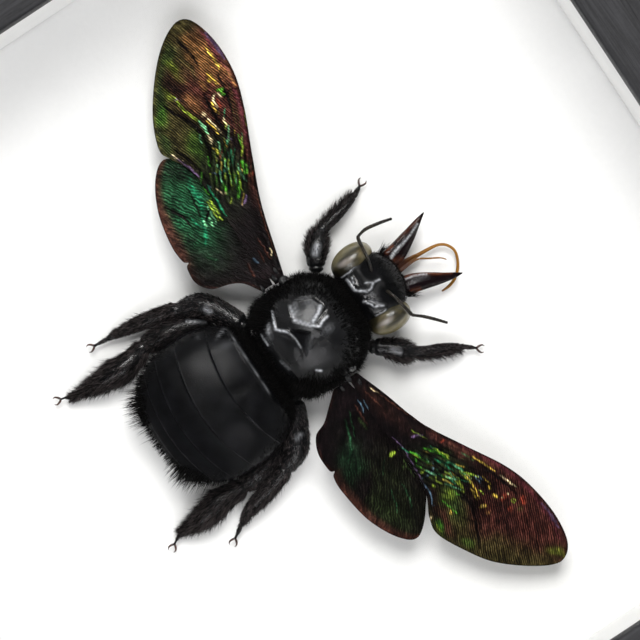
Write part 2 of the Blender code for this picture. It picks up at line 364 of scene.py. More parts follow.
class Limb:
    """A tapering limb along a route of (x, y, height, radius) points in millimetres."""

    def __init__(self, route, flat=1.0, joints=(), joint_depth=0.3, joint_width=0.012):
        self.route = np.asarray(route, dtype=float)
        self.flat = flat
        self.joints = joints
        self.joint_depth = joint_depth
        self.joint_width = joint_width
        self.runs = np.linalg.norm(np.diff(self.route[:, :3], axis=0), axis=1)

    def share_of(self, index):
        return self.runs[:index].sum() / self.runs.sum()

    def frame_at(self, share):
        centre = through(self.route, share)
        step = 0.004
        ahead = through(self.route, np.clip(share + step, 0, 1))
        behind = through(self.route, np.clip(share - step, 0, 1))
        along = unit((ahead - behind)[..., :3])
        side = unit(np.cross(along, (0.0, 0.0, 1.0)))
        return centre[..., :3], centre[..., 3], along, side, np.cross(side, along)

    def radius_at(self, share, radius):
        """The route's radius, rounded off at both ends and pinched at the joints."""
        for from_end, end_radius in ((share, self.route[0, 3]), (1 - share, self.route[-1, 3])):
            cap = np.clip(max(end_radius, 0.05) / self.runs.sum(), 0.002, 0.2)
            radius = radius * np.sqrt(np.clip(1 - np.clip(1 - from_end / cap, 0, 1) ** 2, 0, 1))
        pinch = 1.0
        for joint in self.joints:
            pinch = pinch - self.joint_depth * np.exp(-(((share - joint) / self.joint_width) ** 2))
        return radius * pinch

    def surface(self, share, angle, groove=None):
        """Points on the limb and their outward directions."""
        centre, radius, _, side, lift = self.frame_at(share)
        radius = self.radius_at(share, radius)
        if groove is not None:
            radius = radius * groove(share, angle)
        out = side * np.cos(angle)[..., None] + lift * (np.sin(angle) * self.flat)[..., None]
        return centre + out * radius[..., None], unit(out)

    def build(self, name, sides=18, rings=72, groove=None):
        made = new_spindle(name, sides, rings)
        start = read_points(made)
        share = np.arccos(np.clip(start[:, 2], -1, 1)) / math.pi
        angle = np.arctan2(start[:, 1], start[:, 0])
        write_points(made, on_board(self.surface(share, angle, groove)[0]))
        face_outwards(made)
        return made


# ---------------------------------------------------------------- hair


class Coat:
    """Collects hairs and makes them one mesh of slim, bent, closed spikes."""

    corners = 7  # three at the root, three halfway and the tip

    def __init__(self, seed):
        self.random = np.random.default_rng(seed)
        self.roots, self.aims, self.lengths = [], [], []

    def add(self, roots, aims, lengths):
        self.roots.append(np.asarray(roots))
        self.aims.append(unit(np.asarray(aims)))
        self.lengths.append(np.broadcast_to(lengths, len(roots)))

    def along_limb(self, limb, count, span, length, lean, arc=(0.0, math.tau), spread=0.25):
        """Hairs on a stretch of a limb, leaning towards its tip."""
        count = int(count * setting("bee_hair").density)
        share = self.random.uniform(*span, count)
        angle = self.random.uniform(*arc, count)
        roots, out = limb.surface(share, angle)
        along = limb.frame_at(share)[2]
        aims = out * (1 - lean) + along * lean + self.random.normal(0, spread, (count, 3))
        place = (share - span[0]) / (span[1] - span[0])
        swell = 0.55 + 0.45 * np.sin(np.clip(place, 0, 1) * math.pi) ** 0.6
        self.add(roots, aims, length * swell * self.random.uniform(0.6, 1.1, count))

    def over_body(self, body, count, chosen, aim, length, spread=0.3):
        """Hairs over the chosen part of a body; chosen and aim are functions of the points."""
        mesh = body.data
        mesh.calc_loop_triangles()
        corners = np.empty(len(mesh.loop_triangles) * 3, dtype=np.int32)
        mesh.loop_triangles.foreach_get("vertices", corners)
        corners = read_points(body)[corners.reshape(-1, 3)]
        corners[..., 2] -= BOARD_TOP
        corners = corners / MM
        normals = np.cross(corners[:, 1] - corners[:, 0], corners[:, 2] - corners[:, 0])
        middle = corners.mean(axis=1)
        weight = np.linalg.norm(normals, axis=1) * chosen(*middle.T)
        count = int(count * setting("bee_hair").density)
        picked = self.random.choice(len(middle), count, p=weight / weight.sum())
        share = self.random.dirichlet((1, 1, 1), count)
        roots = (corners[picked] * share[..., None]).sum(axis=1)
        out = unit(normals[picked])
        aims = out + aim(*roots.T) + self.random.normal(0, spread, (count, 3))
        self.add(roots, aims, length * self.random.uniform(0.55, 1.15, count))

    def build(self, name, thickness=1.0, droop=0.18, paleness=0.5):
        roots = np.concatenate(self.roots)
        aims = np.concatenate(self.aims)
        lengths = np.concatenate(self.lengths)
        count = len(roots)
        width = setting("bee_hair").thickness / MM / 2 * thickness
        side = unit(np.cross(aims, self.random.normal(size=(count, 3))))
        lift = np.cross(side, aims)
        bend = unit(self.random.normal(size=(count, 3)) * 0.6 + (0, 0, -1.0)) * droop
        rings = []
        for share, size in ((-0.04, 1.0), (0.55, 0.75)):
            centre = roots + (aims * share + bend * max(share, 0) ** 2) * lengths[:, None]
            for corner in range(3):
                angle = corner * math.tau / 3
                offset = side * math.cos(angle) + lift * math.sin(angle)
                rings.append(centre + offset * width * size)
        rings.append(roots + (aims + bend) * lengths[:, None])
        points = np.stack(rings, axis=1)
        points[..., 2] = np.maximum(points[..., 2], LOWEST_HAIR)
        pattern = [(0, 2, 1), (3, 4, 6), (4, 5, 6), (5, 3, 6)]
        for corner in range(3):
            after = (corner + 1) % 3
            pattern.append((corner, after, after + 3))
            pattern.append((corner, after + 3, corner + 3))
        faces = (np.arange(count)[:, None, None] * self.corners + np.array(pattern)).reshape(-1, 3)
        mesh = bpy.data.meshes.new(name)
        mesh.vertices.add(count * self.corners)
        mesh.vertices.foreach_set("co", on_board(points).astype(np.float32).ravel())
        mesh.loops.add(len(faces) * 3)
        mesh.loops.foreach_set("vertex_index", faces.astype(np.int32).ravel())
        mesh.polygons.add(len(faces))
        mesh.polygons.foreach_set("loop_start", np.arange(len(faces), dtype=np.int32) * 3)
        mesh.update(calc_edges=True)
        made = bpy.data.objects.new(name, mesh)
        shades = self.random.uniform(0, paleness, count)
        mark(made, "hair_shade", np.repeat(shades, self.corners))
        bpy.context.scene.collection.objects.link(made)
        return finish(made, hair_material())


# ---------------------------------------------------------------- material helpers


def node(tree, kind, values=None, **settings):
    made = tree.nodes.new(kind)
    for key, value in settings.items():
        setattr(made, key, value)
    for key, value in (values or {}).items():
        if isinstance(value, bpy.types.NodeSocket):
            tree.links.new(value, made.inputs[key])
        else:
            made.inputs[key].default_value = value
    return made


def maths(tree, operation, first, second=0.0):
    return node(tree, "ShaderNodeMath", {0: first, 1: second}, operation=operation).outputs[0]


def object_place(tree, scale=(1.0, 1.0, 1.0)):
    """Object coordinates in millimetres, stretched by scale."""
    source = node(tree, "ShaderNodeTexCoord").outputs["Object"]
    factors = tuple(value / MM for value in scale)
    return node(tree, "ShaderNodeMapping", {"Vector": source, "Scale": factors}).outputs[0]


def noise(tree, place, scale, detail=3.0, roughness=0.55):
    values = {"Vector": place, "Scale": scale, "Detail": detail, "Roughness": roughness}
    return node(tree, "ShaderNodeTexNoise", values).outputs[0]


def ramp(tree, factor, stops):
    made = node(tree, "ShaderNodeValToRGB", {0: factor})
    elements = made.color_ramp.elements
    while len(elements) < len(stops):
        elements.new(0.5)
    for element, (place, colour) in zip(elements, stops):
        element.position = place
        element.color = (*colour, 1.0)
    return made.outputs[0]


def grey(level):
    return (level, level, level)


def mixed(tree, factor, first, second):
    made = node(tree, "ShaderNodeMix", {0: factor}, data_type="RGBA")
    for socket, value in ((made.inputs[6], first), (made.inputs[7], second)):
        if isinstance(value, bpy.types.NodeSocket):
            tree.links.new(value, socket)
        else:
            socket.default_value = (*value, 1.0)
    return made.outputs[2]


def bump(tree, height, distance, strength=1.0, normal=None):
    """A bump whose full height is this many millimetres."""
    values = {"Height": height, "Strength": strength, "Distance": distance * MM}
    if normal is not None:
        values["Normal"] = normal
    return node(tree, "ShaderNodeBump", values).outputs[0]


def attribute(tree, name):
    return node(tree, "ShaderNodeAttribute", attribute_name=name).outputs["Fac"]


def apart(tree, vector):
    return node(tree, "ShaderNodeSeparateXYZ", {0: vector}).outputs


def remapped(tree, value, low, high, to_low=0.0, to_high=1.0):
    """A value's range from low to high, mapped onto another and clamped to it."""
    values = {0: value, 1: low, 2: high, 3: to_low, 4: to_high}
    return node(tree, "ShaderNodeMapRange", values).outputs[0]


def weighed(tree, first, share, second, other_share):
    """Two values, each by its share, added up."""
    parts = [maths(tree, "MULTIPLY", *part) for part in ((first, share), (second, other_share))]
    return maths(tree, "ADD", *parts)


def scaled(colour, factor):
    return tuple(value * factor for value in colour)


MADE = {}


def material(make):
    """Makes each material once, and hands out the same one afterwards."""

    def found(*arguments):
        key = (make.__name__, arguments)
        if key not in MADE:
            labels = [word for word in arguments if isinstance(word, str)]
            made = bpy.data.materials.new("_".join([make.__name__.replace("_material", ""), *labels]))
            made.use_nodes = True
            tree = made.node_tree
            make(tree, tree.nodes["Principled BSDF"], *arguments)
            MADE[key] = made
        return MADE[key]

    return found


def shade(tree, shader, **sockets):
    """Sets or links the shader's sockets by name, with _ for a space."""
    for key, value in sockets.items():
        socket = shader.inputs[key.replace("_", " ")]
        if isinstance(value, bpy.types.NodeSocket):
            tree.links.new(value, socket)
        else:
            short = socket.type == "RGBA" and len(value) == 3
            socket.default_value = (*value, 1.0) if short else value


# ---------------------------------------------------------------- materials of the case


@material
def charcoal_wood_material(tree, shader, grain_axis):
    """Open-grained wood stained charcoal, its grain along X or Y."""
    case = setting("bee_case")
    long, short = 0.045, 1.0
    scale = (long, short, short) if grain_axis == "x" else (short, long, short)
    place = object_place(tree, scale)
    pores = noise(tree, place, 3.2, 4.0, 0.65)
    figure = noise(tree, place, 0.5, 2.0)
    fleck = noise(tree, object_place(tree), 2.5, 2.0)
    tone = weighed(tree, pores, 0.65, figure, 0.35)
    colour = ramp(tree, tone, ((0.36, tuple(case.stain_dark)), (0.62, tuple(case.stain_light))))
    rough = ramp(tree, fleck, ((0.3, grey(0.5)), (0.7, grey(0.68))))
    shade(tree, shader, Base_Color=colour, Roughness=rough, Specular_IOR_Level=0.22,
          Normal=bump(tree, tone, 0.12, 0.8))


@material
def card_material(tree, shader, name):
    """Matte white card with a faint fibre; the name keeps the liners' and the board's apart."""
    white = tuple(setting("bee_case").card)
    fibre = noise(tree, object_place(tree), 1.6, 5.0, 0.7)
    cloud = noise(tree, object_place(tree), 0.09, 2.0)
    tone = weighed(tree, fibre, 0.5, cloud, 0.5)
    colour = ramp(tree, tone, ((0.3, scaled(white, 0.955)), (0.6, white)))
    shade(tree, shader, Base_Color=colour, Roughness=0.82, Specular_IOR_Level=0.25,
          Normal=bump(tree, fibre, 0.035, 0.6))


@material
def glass_material(tree, shader):
    """A clear pane that lets the lamps through."""
    shade(tree, shader, Base_Color=(1.0, 1.0, 1.0), Roughness=0.0, IOR=1.45, Transmission_Weight=1.0)
    path = node(tree, "ShaderNodeLightPath").outputs["Is Camera Ray"]
    clear = node(tree, "ShaderNodeBsdfTransparent").outputs[0]
    output = next(item for item in tree.nodes if item.type == "OUTPUT_MATERIAL")
    blend = node(tree, "ShaderNodeMixShader", {0: path, 1: clear, 2: shader.outputs[0]})
    tree.links.new(blend.outputs[0], output.inputs["Surface"])


@material
def hardboard_material(tree, shader):
    place = object_place(tree)
    fibre = noise(tree, place, 1.3, 6.0, 0.75)
    cloud = noise(tree, place, 0.12, 2.0)
    tone = weighed(tree, fibre, 0.6, cloud, 0.4)
    browns = ((0.35, (0.11, 0.06, 0.03)), (0.5, (0.21, 0.125, 0.066)), (0.66, (0.3, 0.2, 0.115)))
    colour = ramp(tree, tone, browns)
    shade(tree, shader, Base_Color=colour, Roughness=0.85, Normal=bump(tree, fibre, 0.08, 0.8))


@material
def tab_steel_material(tree, shader):
    brushed = noise(tree, object_place(tree, (0.12, 1.0, 1.0)), 6.0, 3.0)
    colour = ramp(tree, brushed, ((0.3, grey(0.42)), (0.7, grey(0.62))))
    rough = ramp(tree, brushed, ((0.3, grey(0.28)), (0.7, grey(0.45))))
    shade(tree, shader, Base_Color=colour, Roughness=rough, Metallic=1.0,
          Normal=bump(tree, brushed, 0.01, 0.5))


# ---------------------------------------------------------------- materials of the bee


@material
def cuticle_material(tree, shader, name, rough, gloss, pit_depth):
    """Black, pitted chitin; gloss is its mirror strength, marked hollows are dull, and pale marks are
    painted highlights.
    """
    black = tuple(setting("bee_body").cuticle)
    place = object_place(tree)
    pits = node(tree, "ShaderNodeTexVoronoi", {"Vector": place, "Scale": 3.4}).outputs["Distance"]
    pits = ramp(tree, pits, ((0.0, grey(0.0)), (0.32, grey(1.0))))
    cloud = noise(tree, place, 0.55, 4.0)
    colour = ramp(tree, cloud, ((0.35, scaled(black, 0.6)), (0.7, scaled(black, 1.6))))
    roughness = ramp(tree, cloud, ((0.3, grey(rough * 0.9)), (0.75, grey(rough * 1.12))))
    dull = attribute(tree, "dull")
    roughness = remapped(tree, dull, 0.0, 1.0, roughness, 0.7)
    sheen = mixed(tree, dull, grey(1.0), grey(0.05))
    # Painted highlights: the pale marks turn the colour a pale blue-white
    colour = mixed(tree, attribute(tree, "pale"), colour, (0.6, 0.62, 0.66))
    fine = bump(tree, noise(tree, place, 5.0, 3.0), 0.012, 0.5)
    if name == "abdomen":
        heights, edges = plates(tree, place)
        fine = bump(tree, heights, 0.12, 1.0, fine)
        # A lighter line painted along each plate's edge, broken into patches: a painted highlight on the
        # plates' lips
        painted_gleam = ramp(tree, noise(tree, place, 0.9, 3.0), ((0.42, grey(0.0)), (0.62, grey(1.0))))
        colour = mixed(tree, maths(tree, "MULTIPLY", edges, painted_gleam), colour, (0.012, 0.012, 0.014))
    shade(tree, shader, Base_Color=colour, Roughness=roughness, Specular_IOR_Level=gloss,
          Specular_Tint=sheen, Normal=bump(tree, pits, pit_depth, 0.7, fine))


def plates(tree, place):
    """The abdomen's plates: a height that drops at each one's end, and a line along that edge, for a
    painted highlight.
    """
    x, y, _ = apart(tree, place)
    aside = maths(tree, "SUBTRACT", x, ABDOMEN_CENTRE[0])
    bow = maths(tree, "MULTIPLY", maths(tree, "MULTIPLY", aside, aside), SEGMENT_BOW)
    back = maths(tree, "SUBTRACT", bow, y)
    depth = remapped(tree, back, FIRST_SEGMENT, FIRST_SEGMENT + SEGMENTS_LENGTH)
    heights, edges = [(0.0, grey(0.0))], [(0.0, grey(0.0))]
    for end in SEGMENT_ENDS:
        drop = (-end - FIRST_SEGMENT) / SEGMENTS_LENGTH
        heights += [(drop - 0.016, grey(0.7)), (drop - 0.006, grey(1.0)), (drop, grey(0.0))]
        edges += [(drop - 0.015, grey(0.0)), (drop - 0.006, grey(1.0)), (drop, grey(0.0))]
    return ramp(tree, depth, heights), ramp(tree, depth, edges)


@material
def eye_material(tree, shader):
    """Olive eye with a painted milky reflection on its inner top, painted shade towards its lower, inner
    end, cloudy bands and fine facets.
    """
    olive = tuple(setting("bee_body").eye)
    place = object_place(tree)
    facets = node(tree, "ShaderNodeTexVoronoi", {"Vector": place, "Scale": 14.0}).outputs["Distance"]
    bands = noise(tree, object_place(tree, (1.0, 0.3, 0.6)), 1.3, 3.0)
    light = (olive[0] * 0.95, olive[1] * 0.9, olive[2] * 1.2)
    colour = ramp(tree, bands, ((0.38, scaled(olive, 0.12)), (0.52, scaled(olive, 0.4)), (0.64, light)))
    colour = mixed(tree, attribute(tree, "rim"), colour, (olive[0] * 1.05, olive[1] * 1.05, olive[2]))
    x, y, _ = apart(tree, place)
    inner = maths(tree, "ABSOLUTE", maths(tree, "SUBTRACT", x, HEAD_CENTRE[0]))
    rear = maths(tree, "ADD", y, maths(tree, "MULTIPLY", inner, 1.1))
    # Painted shade: darker towards the eye's lower, inner end
    colour = mixed(tree, remapped(tree, rear, 12.2, 13.9, 1.0, 0.0), colour, scaled(olive, 0.06))
    # Painted reflection: a milky patch on the eye's inner part
    across = maths(tree, "MULTIPLY", maths(tree, "SUBTRACT", inner, 3.95), 2.6)
    along = maths(tree, "MULTIPLY", maths(tree, "SUBTRACT", y, 9.7), 0.9)
    away = node(tree, "ShaderNodeCombineXYZ", {0: across, 1: along}).outputs[0]
    away = node(tree, "ShaderNodeVectorMath", {0: away}, operation="LENGTH").outputs["Value"]
    painted_reflection = remapped(tree, away, 1.2, 0.3, 0.0, 0.45)
    painted_reflection = maths(tree, "MULTIPLY", painted_reflection, ramp(tree, bands, ((0.35, grey(1.0)), (0.65, grey(0.4)))))
    colour = mixed(tree, painted_reflection, colour, (0.46, 0.41, 0.38))
    shade(tree, shader, Base_Color=colour, Roughness=0.34, Coat_Weight=0.3, Coat_Roughness=0.24,
          Normal=bump(tree, facets, 0.01, 0.35))


@material
def mandible_material(tree, shader):
    """Near-black jaw with red-brown edges and a painted highlight streak."""
    streak = noise(tree, object_place(tree, (1.0, 0.2, 1.0)), 3.0, 4.0)
    patches = ramp(tree, streak, ((0.35, grey(0.35)), (0.6, grey(1.0))))
    warm = maths(tree, "MULTIPLY", attribute(tree, "warm"), patches)
    colour = mixed(tree, warm, (0.004, 0.0012, 0.002), (0.13, 0.035, 0.012))
    # Painted highlight: the pale marks turn the jaw blue-white along its streaks
    colour = mixed(tree, attribute(tree, "pale"), colour, (0.8, 0.82, 0.86))
    shade(tree, shader, Base_Color=colour, Roughness=0.2, Specular_IOR_Level=0.12,
          Normal=bump(tree, streak, 0.06, 0.6))


@material
def tongue_material(tree, shader):
    amber = tuple(setting("bee_body").tongue)
    place = object_place(tree)
    root = remapped(tree, apart(tree, place)[1], 15.2, 18.4, 1.0, 0.0)
    rings = noise(tree, place, 3.5, 3.0)
    bright = mixed(tree, rings, scaled(amber, 0.75), scaled(amber, 1.25))
    colour = mixed(tree, root, bright, (0.05, 0.014, 0.004))
    shade(tree, shader, Base_Color=colour, Roughness=0.4, Specular_IOR_Level=0.25,
          Normal=bump(tree, rings, 0.05, 0.7))


@material
def antenna_material(tree, shader):
    place = object_place(tree)
    cloud = noise(tree, place, 1.4, 3.0)
    colour = ramp(tree, cloud, ((0.35, (0.003, 0.003, 0.0025)), (0.7, (0.018, 0.012, 0.006))))
    shade(tree, shader, Base_Color=colour, Roughness=0.3, Specular_IOR_Level=0.3,
          Normal=bump(tree, noise(tree, place, 8.0), 0.02, 0.6))


@material
def claw_material(tree, shader):
    """Red-brown horn, darker in patches."""
    cloud = noise(tree, object_place(tree), 1.8, 3.0)
    colour = ramp(tree, cloud, ((0.35, (0.012, 0.005, 0.004)), (0.65, (0.07, 0.024, 0.014))))
    shade(tree, shader, Base_Color=colour, Roughness=0.3, Normal=bump(tree, cloud, 0.04, 0.6))


@material
def hair_material(tree, shader):
    """Black-brown hair, some of it lighter."""
    base = tuple(setting("bee_hair").colour)
    lighter = (base[0] * 15.0, base[1] * 14.5, base[2] * 15.0)
    lightest = (base[0] * 42.0, base[1] * 39.5, base[2] * 41.0)
    stops = ((0.0, scaled(base, 0.45)), (0.5, base), (0.62, lighter), (1.0, lightest))
    colour = ramp(tree, attribute(tree, "hair_shade"), stops)
    shade(tree, shader, Base_Color=colour, Roughness=0.45, Specular_IOR_Level=0.06)


@material
def wing_material(tree, shader, kind):
    """Smoky film in the colours of the wing's own fields, crossed by fine beaded corrugation."""
    film = node(tree, "ShaderNodeAttribute", attribute_name="film_colour").outputs["Color"]
    lined = attribute(tree, "line_strength")
    across, along, _ = apart(tree, node(tree, "ShaderNodeUVMap", uv_map="lines").outputs[0])
    place = object_place(tree)
    pitch, drift_size, gap = (0.8, 2.6, 0.4) if kind == "hindwing" else (1.0, 1.4, 0.12)
    drift = maths(tree, "SUBTRACT", noise(tree, place, 0.8, 2.0), 0.5)
    run = maths(tree, "MULTIPLY", across, pitch)
    run = maths(tree, "ADD", run, maths(tree, "MULTIPLY", drift, drift_size))
    wave = maths(tree, "SINE", maths(tree, "MULTIPLY", run, math.tau))
    crest = maths(tree, "POWER", maths(tree, "ADD", maths(tree, "MULTIPLY", wave, 0.5), 0.5), 1.5)
    lines = remapped(tree, crest, 0.0, 1.0, gap, 2.3)
    lines = remapped(tree, lined, 0.0, 1.0, 1.0, lines)
    streaks = []
    for stretch, size, force in ((0.14, 0.9, 7.0), (0.5, 1.4, 5.0)):
        spot = {0: run, 1: maths(tree, "MULTIPLY", along, stretch)}
        spot = node(tree, "ShaderNodeCombineXYZ", spot).outputs[0]
        streak = maths(tree, "SUBTRACT", noise(tree, spot, size, 2.0, 0.6), 0.5)
        streaks.append(maths(tree, "MULTIPLY", streak, force))
    cloud = maths(tree, "SUBTRACT", noise(tree, place, 0.9, 4.0, 0.65), 0.5)
    cloud = maths(tree, "MULTIPLY", cloud, 5.0)
    total = maths(tree, "ADD", maths(tree, "ADD", *streaks), cloud)
    level = maths(tree, "MULTIPLY", maths(tree, "POWER", 2.0, total), lines)
    level = maths(tree, "MINIMUM", level, 5.0)
    colour = node(tree, "ShaderNodeVectorMath", {0: film, "Scale": level}, operation="SCALE").outputs[0]
    relief = weighed(tree, crest, lined, total, 0.25)
    shade(tree, shader, Base_Color=colour, Metallic=0.4, Roughness=0.33, Specular_IOR_Level=0.05,
          Normal=bump(tree, relief, 0.05, 0.9))


# ---------------------------------------------------------------- the case


class BEE_OT_case(bpy.types.Operator):
    """Rounds the rails and finishes the glass, card, back and tabs"""

    bl_idname = "bee.case"
    bl_label = "Frame, glass and board"

    def execute(self, context):
        for side in ("top", "bottom", "left", "right"):
            rail = copy_of_node(f"frame_rail_{side}", f"rail_{side}")
            grain = "x" if side in ("top", "bottom") else "y"
            self.close_mitres(rail, 0 if grain == "x" else 1)
            apply_modifier(rail, "BEVEL", width=setting("bee_case").edge_radius, segments=3,
                           limit_method="WEIGHT")
            wood = charcoal_wood_material(grain)
            finish(rail, wood, (f"frame_rail_{side}",), sharp=35)
            self.dress(f"liner_{side}", card_material("liner"))
            self.dress(f"retaining_tab_{side}", tab_steel_material())
        self.dress("mount_board", card_material("board"))
        self.dress("back_panel", hardboard_material())
        self.dress("glass_pane", glass_material())
        return {"FINISHED"}

    def close_mitres(self, rail, long):
        """Brings the rail's ends up to its neighbours and picks its long edges for rounding."""
        points = read_points(rail)
        reach = np.abs(points[:, 1 - long])
        at_end = np.abs(np.abs(points[:, long]) - reach) < 0.4 * MM
        points[at_end, long] = np.sign(points[at_end, long]) * (reach[at_end] - 0.008 * MM)
        write_points(rail, points)
        ends = np.empty(len(rail.data.edges) * 2, dtype=np.int32)
        rail.data.edges.foreach_get("vertices", ends)
        start, stop = ends.reshape(-1, 2).T
        span = np.abs(points[start] - points[stop])
        whole = at_end[start] & at_end[stop] & (span[:, long] > 50 * MM)
        weight = rail.data.attributes.new("bevel_weight_edge", "FLOAT", "EDGE")
        weight.data.foreach_set("value", whole.astype(np.float32))

    def dress(self, name, finish_material):
        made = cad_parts[name]
        made.data.materials.clear()
        made.data.materials.append(finish_material)


# ---------------------------------------------------------------- thorax


THORAX_CENTRE, THORAX_RADII = (0.0, 2.25, 5.3), (6.0, 5.6, 5.2)
CREASE = (
    (-5.6, 0.5), (-4.4, -0.08), (-2.93, -0.67), (-2.45, -0.81), (-2.06, -0.47), (-1.67, -0.03),
    (-1.09, 0.26), (-0.41, 0.45), (0.3, 0.5), (1.4, 0.3), (3.0, -0.4), (4.4, -1.3),
)
TO_LIGHT = np.array((-0.83, 0.55))  # which way the bright facets lean
# Painted highlights along the ridges of the disc: strength, half width, then the line
THORAX_EDGES = (
    (0.75, 0.13, ((-4.3, -0.1), (-2.93, -0.67), (-2.45, -0.81), (-2.06, -0.47), (-1.67, -0.03))),
    (0.3, 0.1, ((-1.67, -0.03), (-1.09, 0.26), (-0.41, 0.45), (0.7, 0.42))),
    (0.8, 0.19, ((-1.9, 4.65), (-1.5, 4.2), (-1.1, 3.4), (-0.95, 3.1))),
    (0.75, 0.13, ((-0.55, 4.7), (-0.45, 4.2), (-0.3, 3.8), (-0.08, 3.4), (-0.5, 2.9))),
    (0.55, 0.2, ((-2.1, 1.5), (-0.65, 2.7))),
    (0.34, 0.16, ((-3.7, 1.9), (-2.2, 1.5))),
    (0.13, 0.25, ((-3.65, 2.5), (-2.7, 2.0))),
    (0.07, 0.3, ((-3.1, 3.6), (-2.5, 4.2))),
    (0.05, 0.35, ((0.4, 1.8), (1.4, 0.9))),
    (0.26, 0.2, ((-3.6, -1.0), (-2.6, -1.7))),
    (0.75, 0.1, ((-2.9, -2.5), (-1.5, -2.5))),
    (0.1, 0.18, ((0.8, -2.3), (1.95, -2.0))),
    (0.6, 0.11, ((3.75, 0.5), (4.1, 0.9))),
)


def rounded_mass(made, centre, radii, power):
    """Turns a unit ball into a mass between an ellipsoid and a box, in millimetres."""
    aim = unit(read_points(made))
    reach = (np.abs(aim) ** power).sum(axis=1) ** (-1 / power)
    return aim * reach[:, None] * np.array(radii) + np.array(centre)


def side_of(x, y, start, stop):
    """Signed distance from a line, positive on the right of the way from start to stop."""
    dx, dy = stop[0] - start[0], stop[1] - start[1]
    return ((x - start[0]) * dy - (y - start[1]) * dx) / math.hypot(dx, dy)


def inside(x, y, corners, soft):
    """1 inside a clockwise polygon, 0 outside, with a soft edge."""
    depth = np.full(np.shape(x), 1e9)
    for start, stop in zip(corners, corners[1:] + corners[:1]):
        depth = np.minimum(depth, side_of(x, y, start, stop))
    return smooth(-soft, soft, depth)


def thorax_pit(x, y):
    """1 in the three-cornered pit behind the disc's middle."""
    return inside(x, y, [(-1.45, 0.6), (-0.1, 2.02), (1.5, 0.58)], 0.24)


def thorax_relief(x, y):
    """Dents, facets and creases of the bare disc, in millimetres."""
    facet = inside(x, y, [(-4.3, 2.1), (-3.2, 4.4), (-1.9, 4.9), (-1.0, 3.1), (-2.2, 1.3)], 0.25)
    fall = (x + 1.2) * TO_LIGHT[0] + (y - 2.6) * TO_LIGHT[1]
    relief = -0.12 * facet * (fall + 0.5)
    band = side_of(x, y, (-2.5, 1.1), (-0.2, 3.05))
    along = ridge(x, y, ((-2.2, 1.35), (-0.5, 2.8)), 0.75)
    relief += 0.34 * smooth(-0.22, 0.22, band) * along * smooth(1.6, 0.4, band)
    relief += 0.08 * ridge(x, y, ((-1.9, 4.65), (-1.5, 4.2), (-1.1, 3.4), (-0.95, 3.1)), 0.22)
    relief -= 0.1 * ridge(x, y, ((-1.2, 4.8), (-0.95, 4.0), (-0.7, 3.3)), 0.16)
    relief += 0.08 * ridge(x, y, ((-0.55, 4.7), (-0.45, 4.2), (-0.3, 3.8), (-0.08, 3.4)), 0.16)
    relief -= 0.5 * thorax_pit(x, y)
    lit = smooth(5.0, 4.2, np.abs(x)) * smooth(2.6, 0.6, x)
    relief += 0.2 * ridge(x, y, CREASE, 0.17) * lit
    relief -= 0.16 * ridge(x, y + 0.4, CREASE, 0.24) * smooth(-0.2, -1.4, x) * lit
    relief += 0.05 * blob(x, y, (0.9, -1.1), (2.4, 0.9))
    relief += 0.3 * blob(x, y, (-2.3, -1.9), (1.0, 0.7), -35)
    relief += 0.1 * ridge(x, y, ((-2.9, -2.5), (-1.5, -2.5)), 0.14)
    relief += 0.08 * ridge(x, y, ((0.8, -2.3), (1.95, -2.0)), 0.16)
    relief += 0.16 * ridge(x, y, ((3.9, 0.3), (4.3, 0.9)), 0.13)
    relief -= 0.1 * blob(x, y, (0.9, 2.6), (0.7, 1.6), -25)
    relief += 0.07 * blob(x, y, (2.4, 2.8), (1.3, 1.8), 25)
    return relief + 0.02 * ripple(x, y, 1.7, 11)


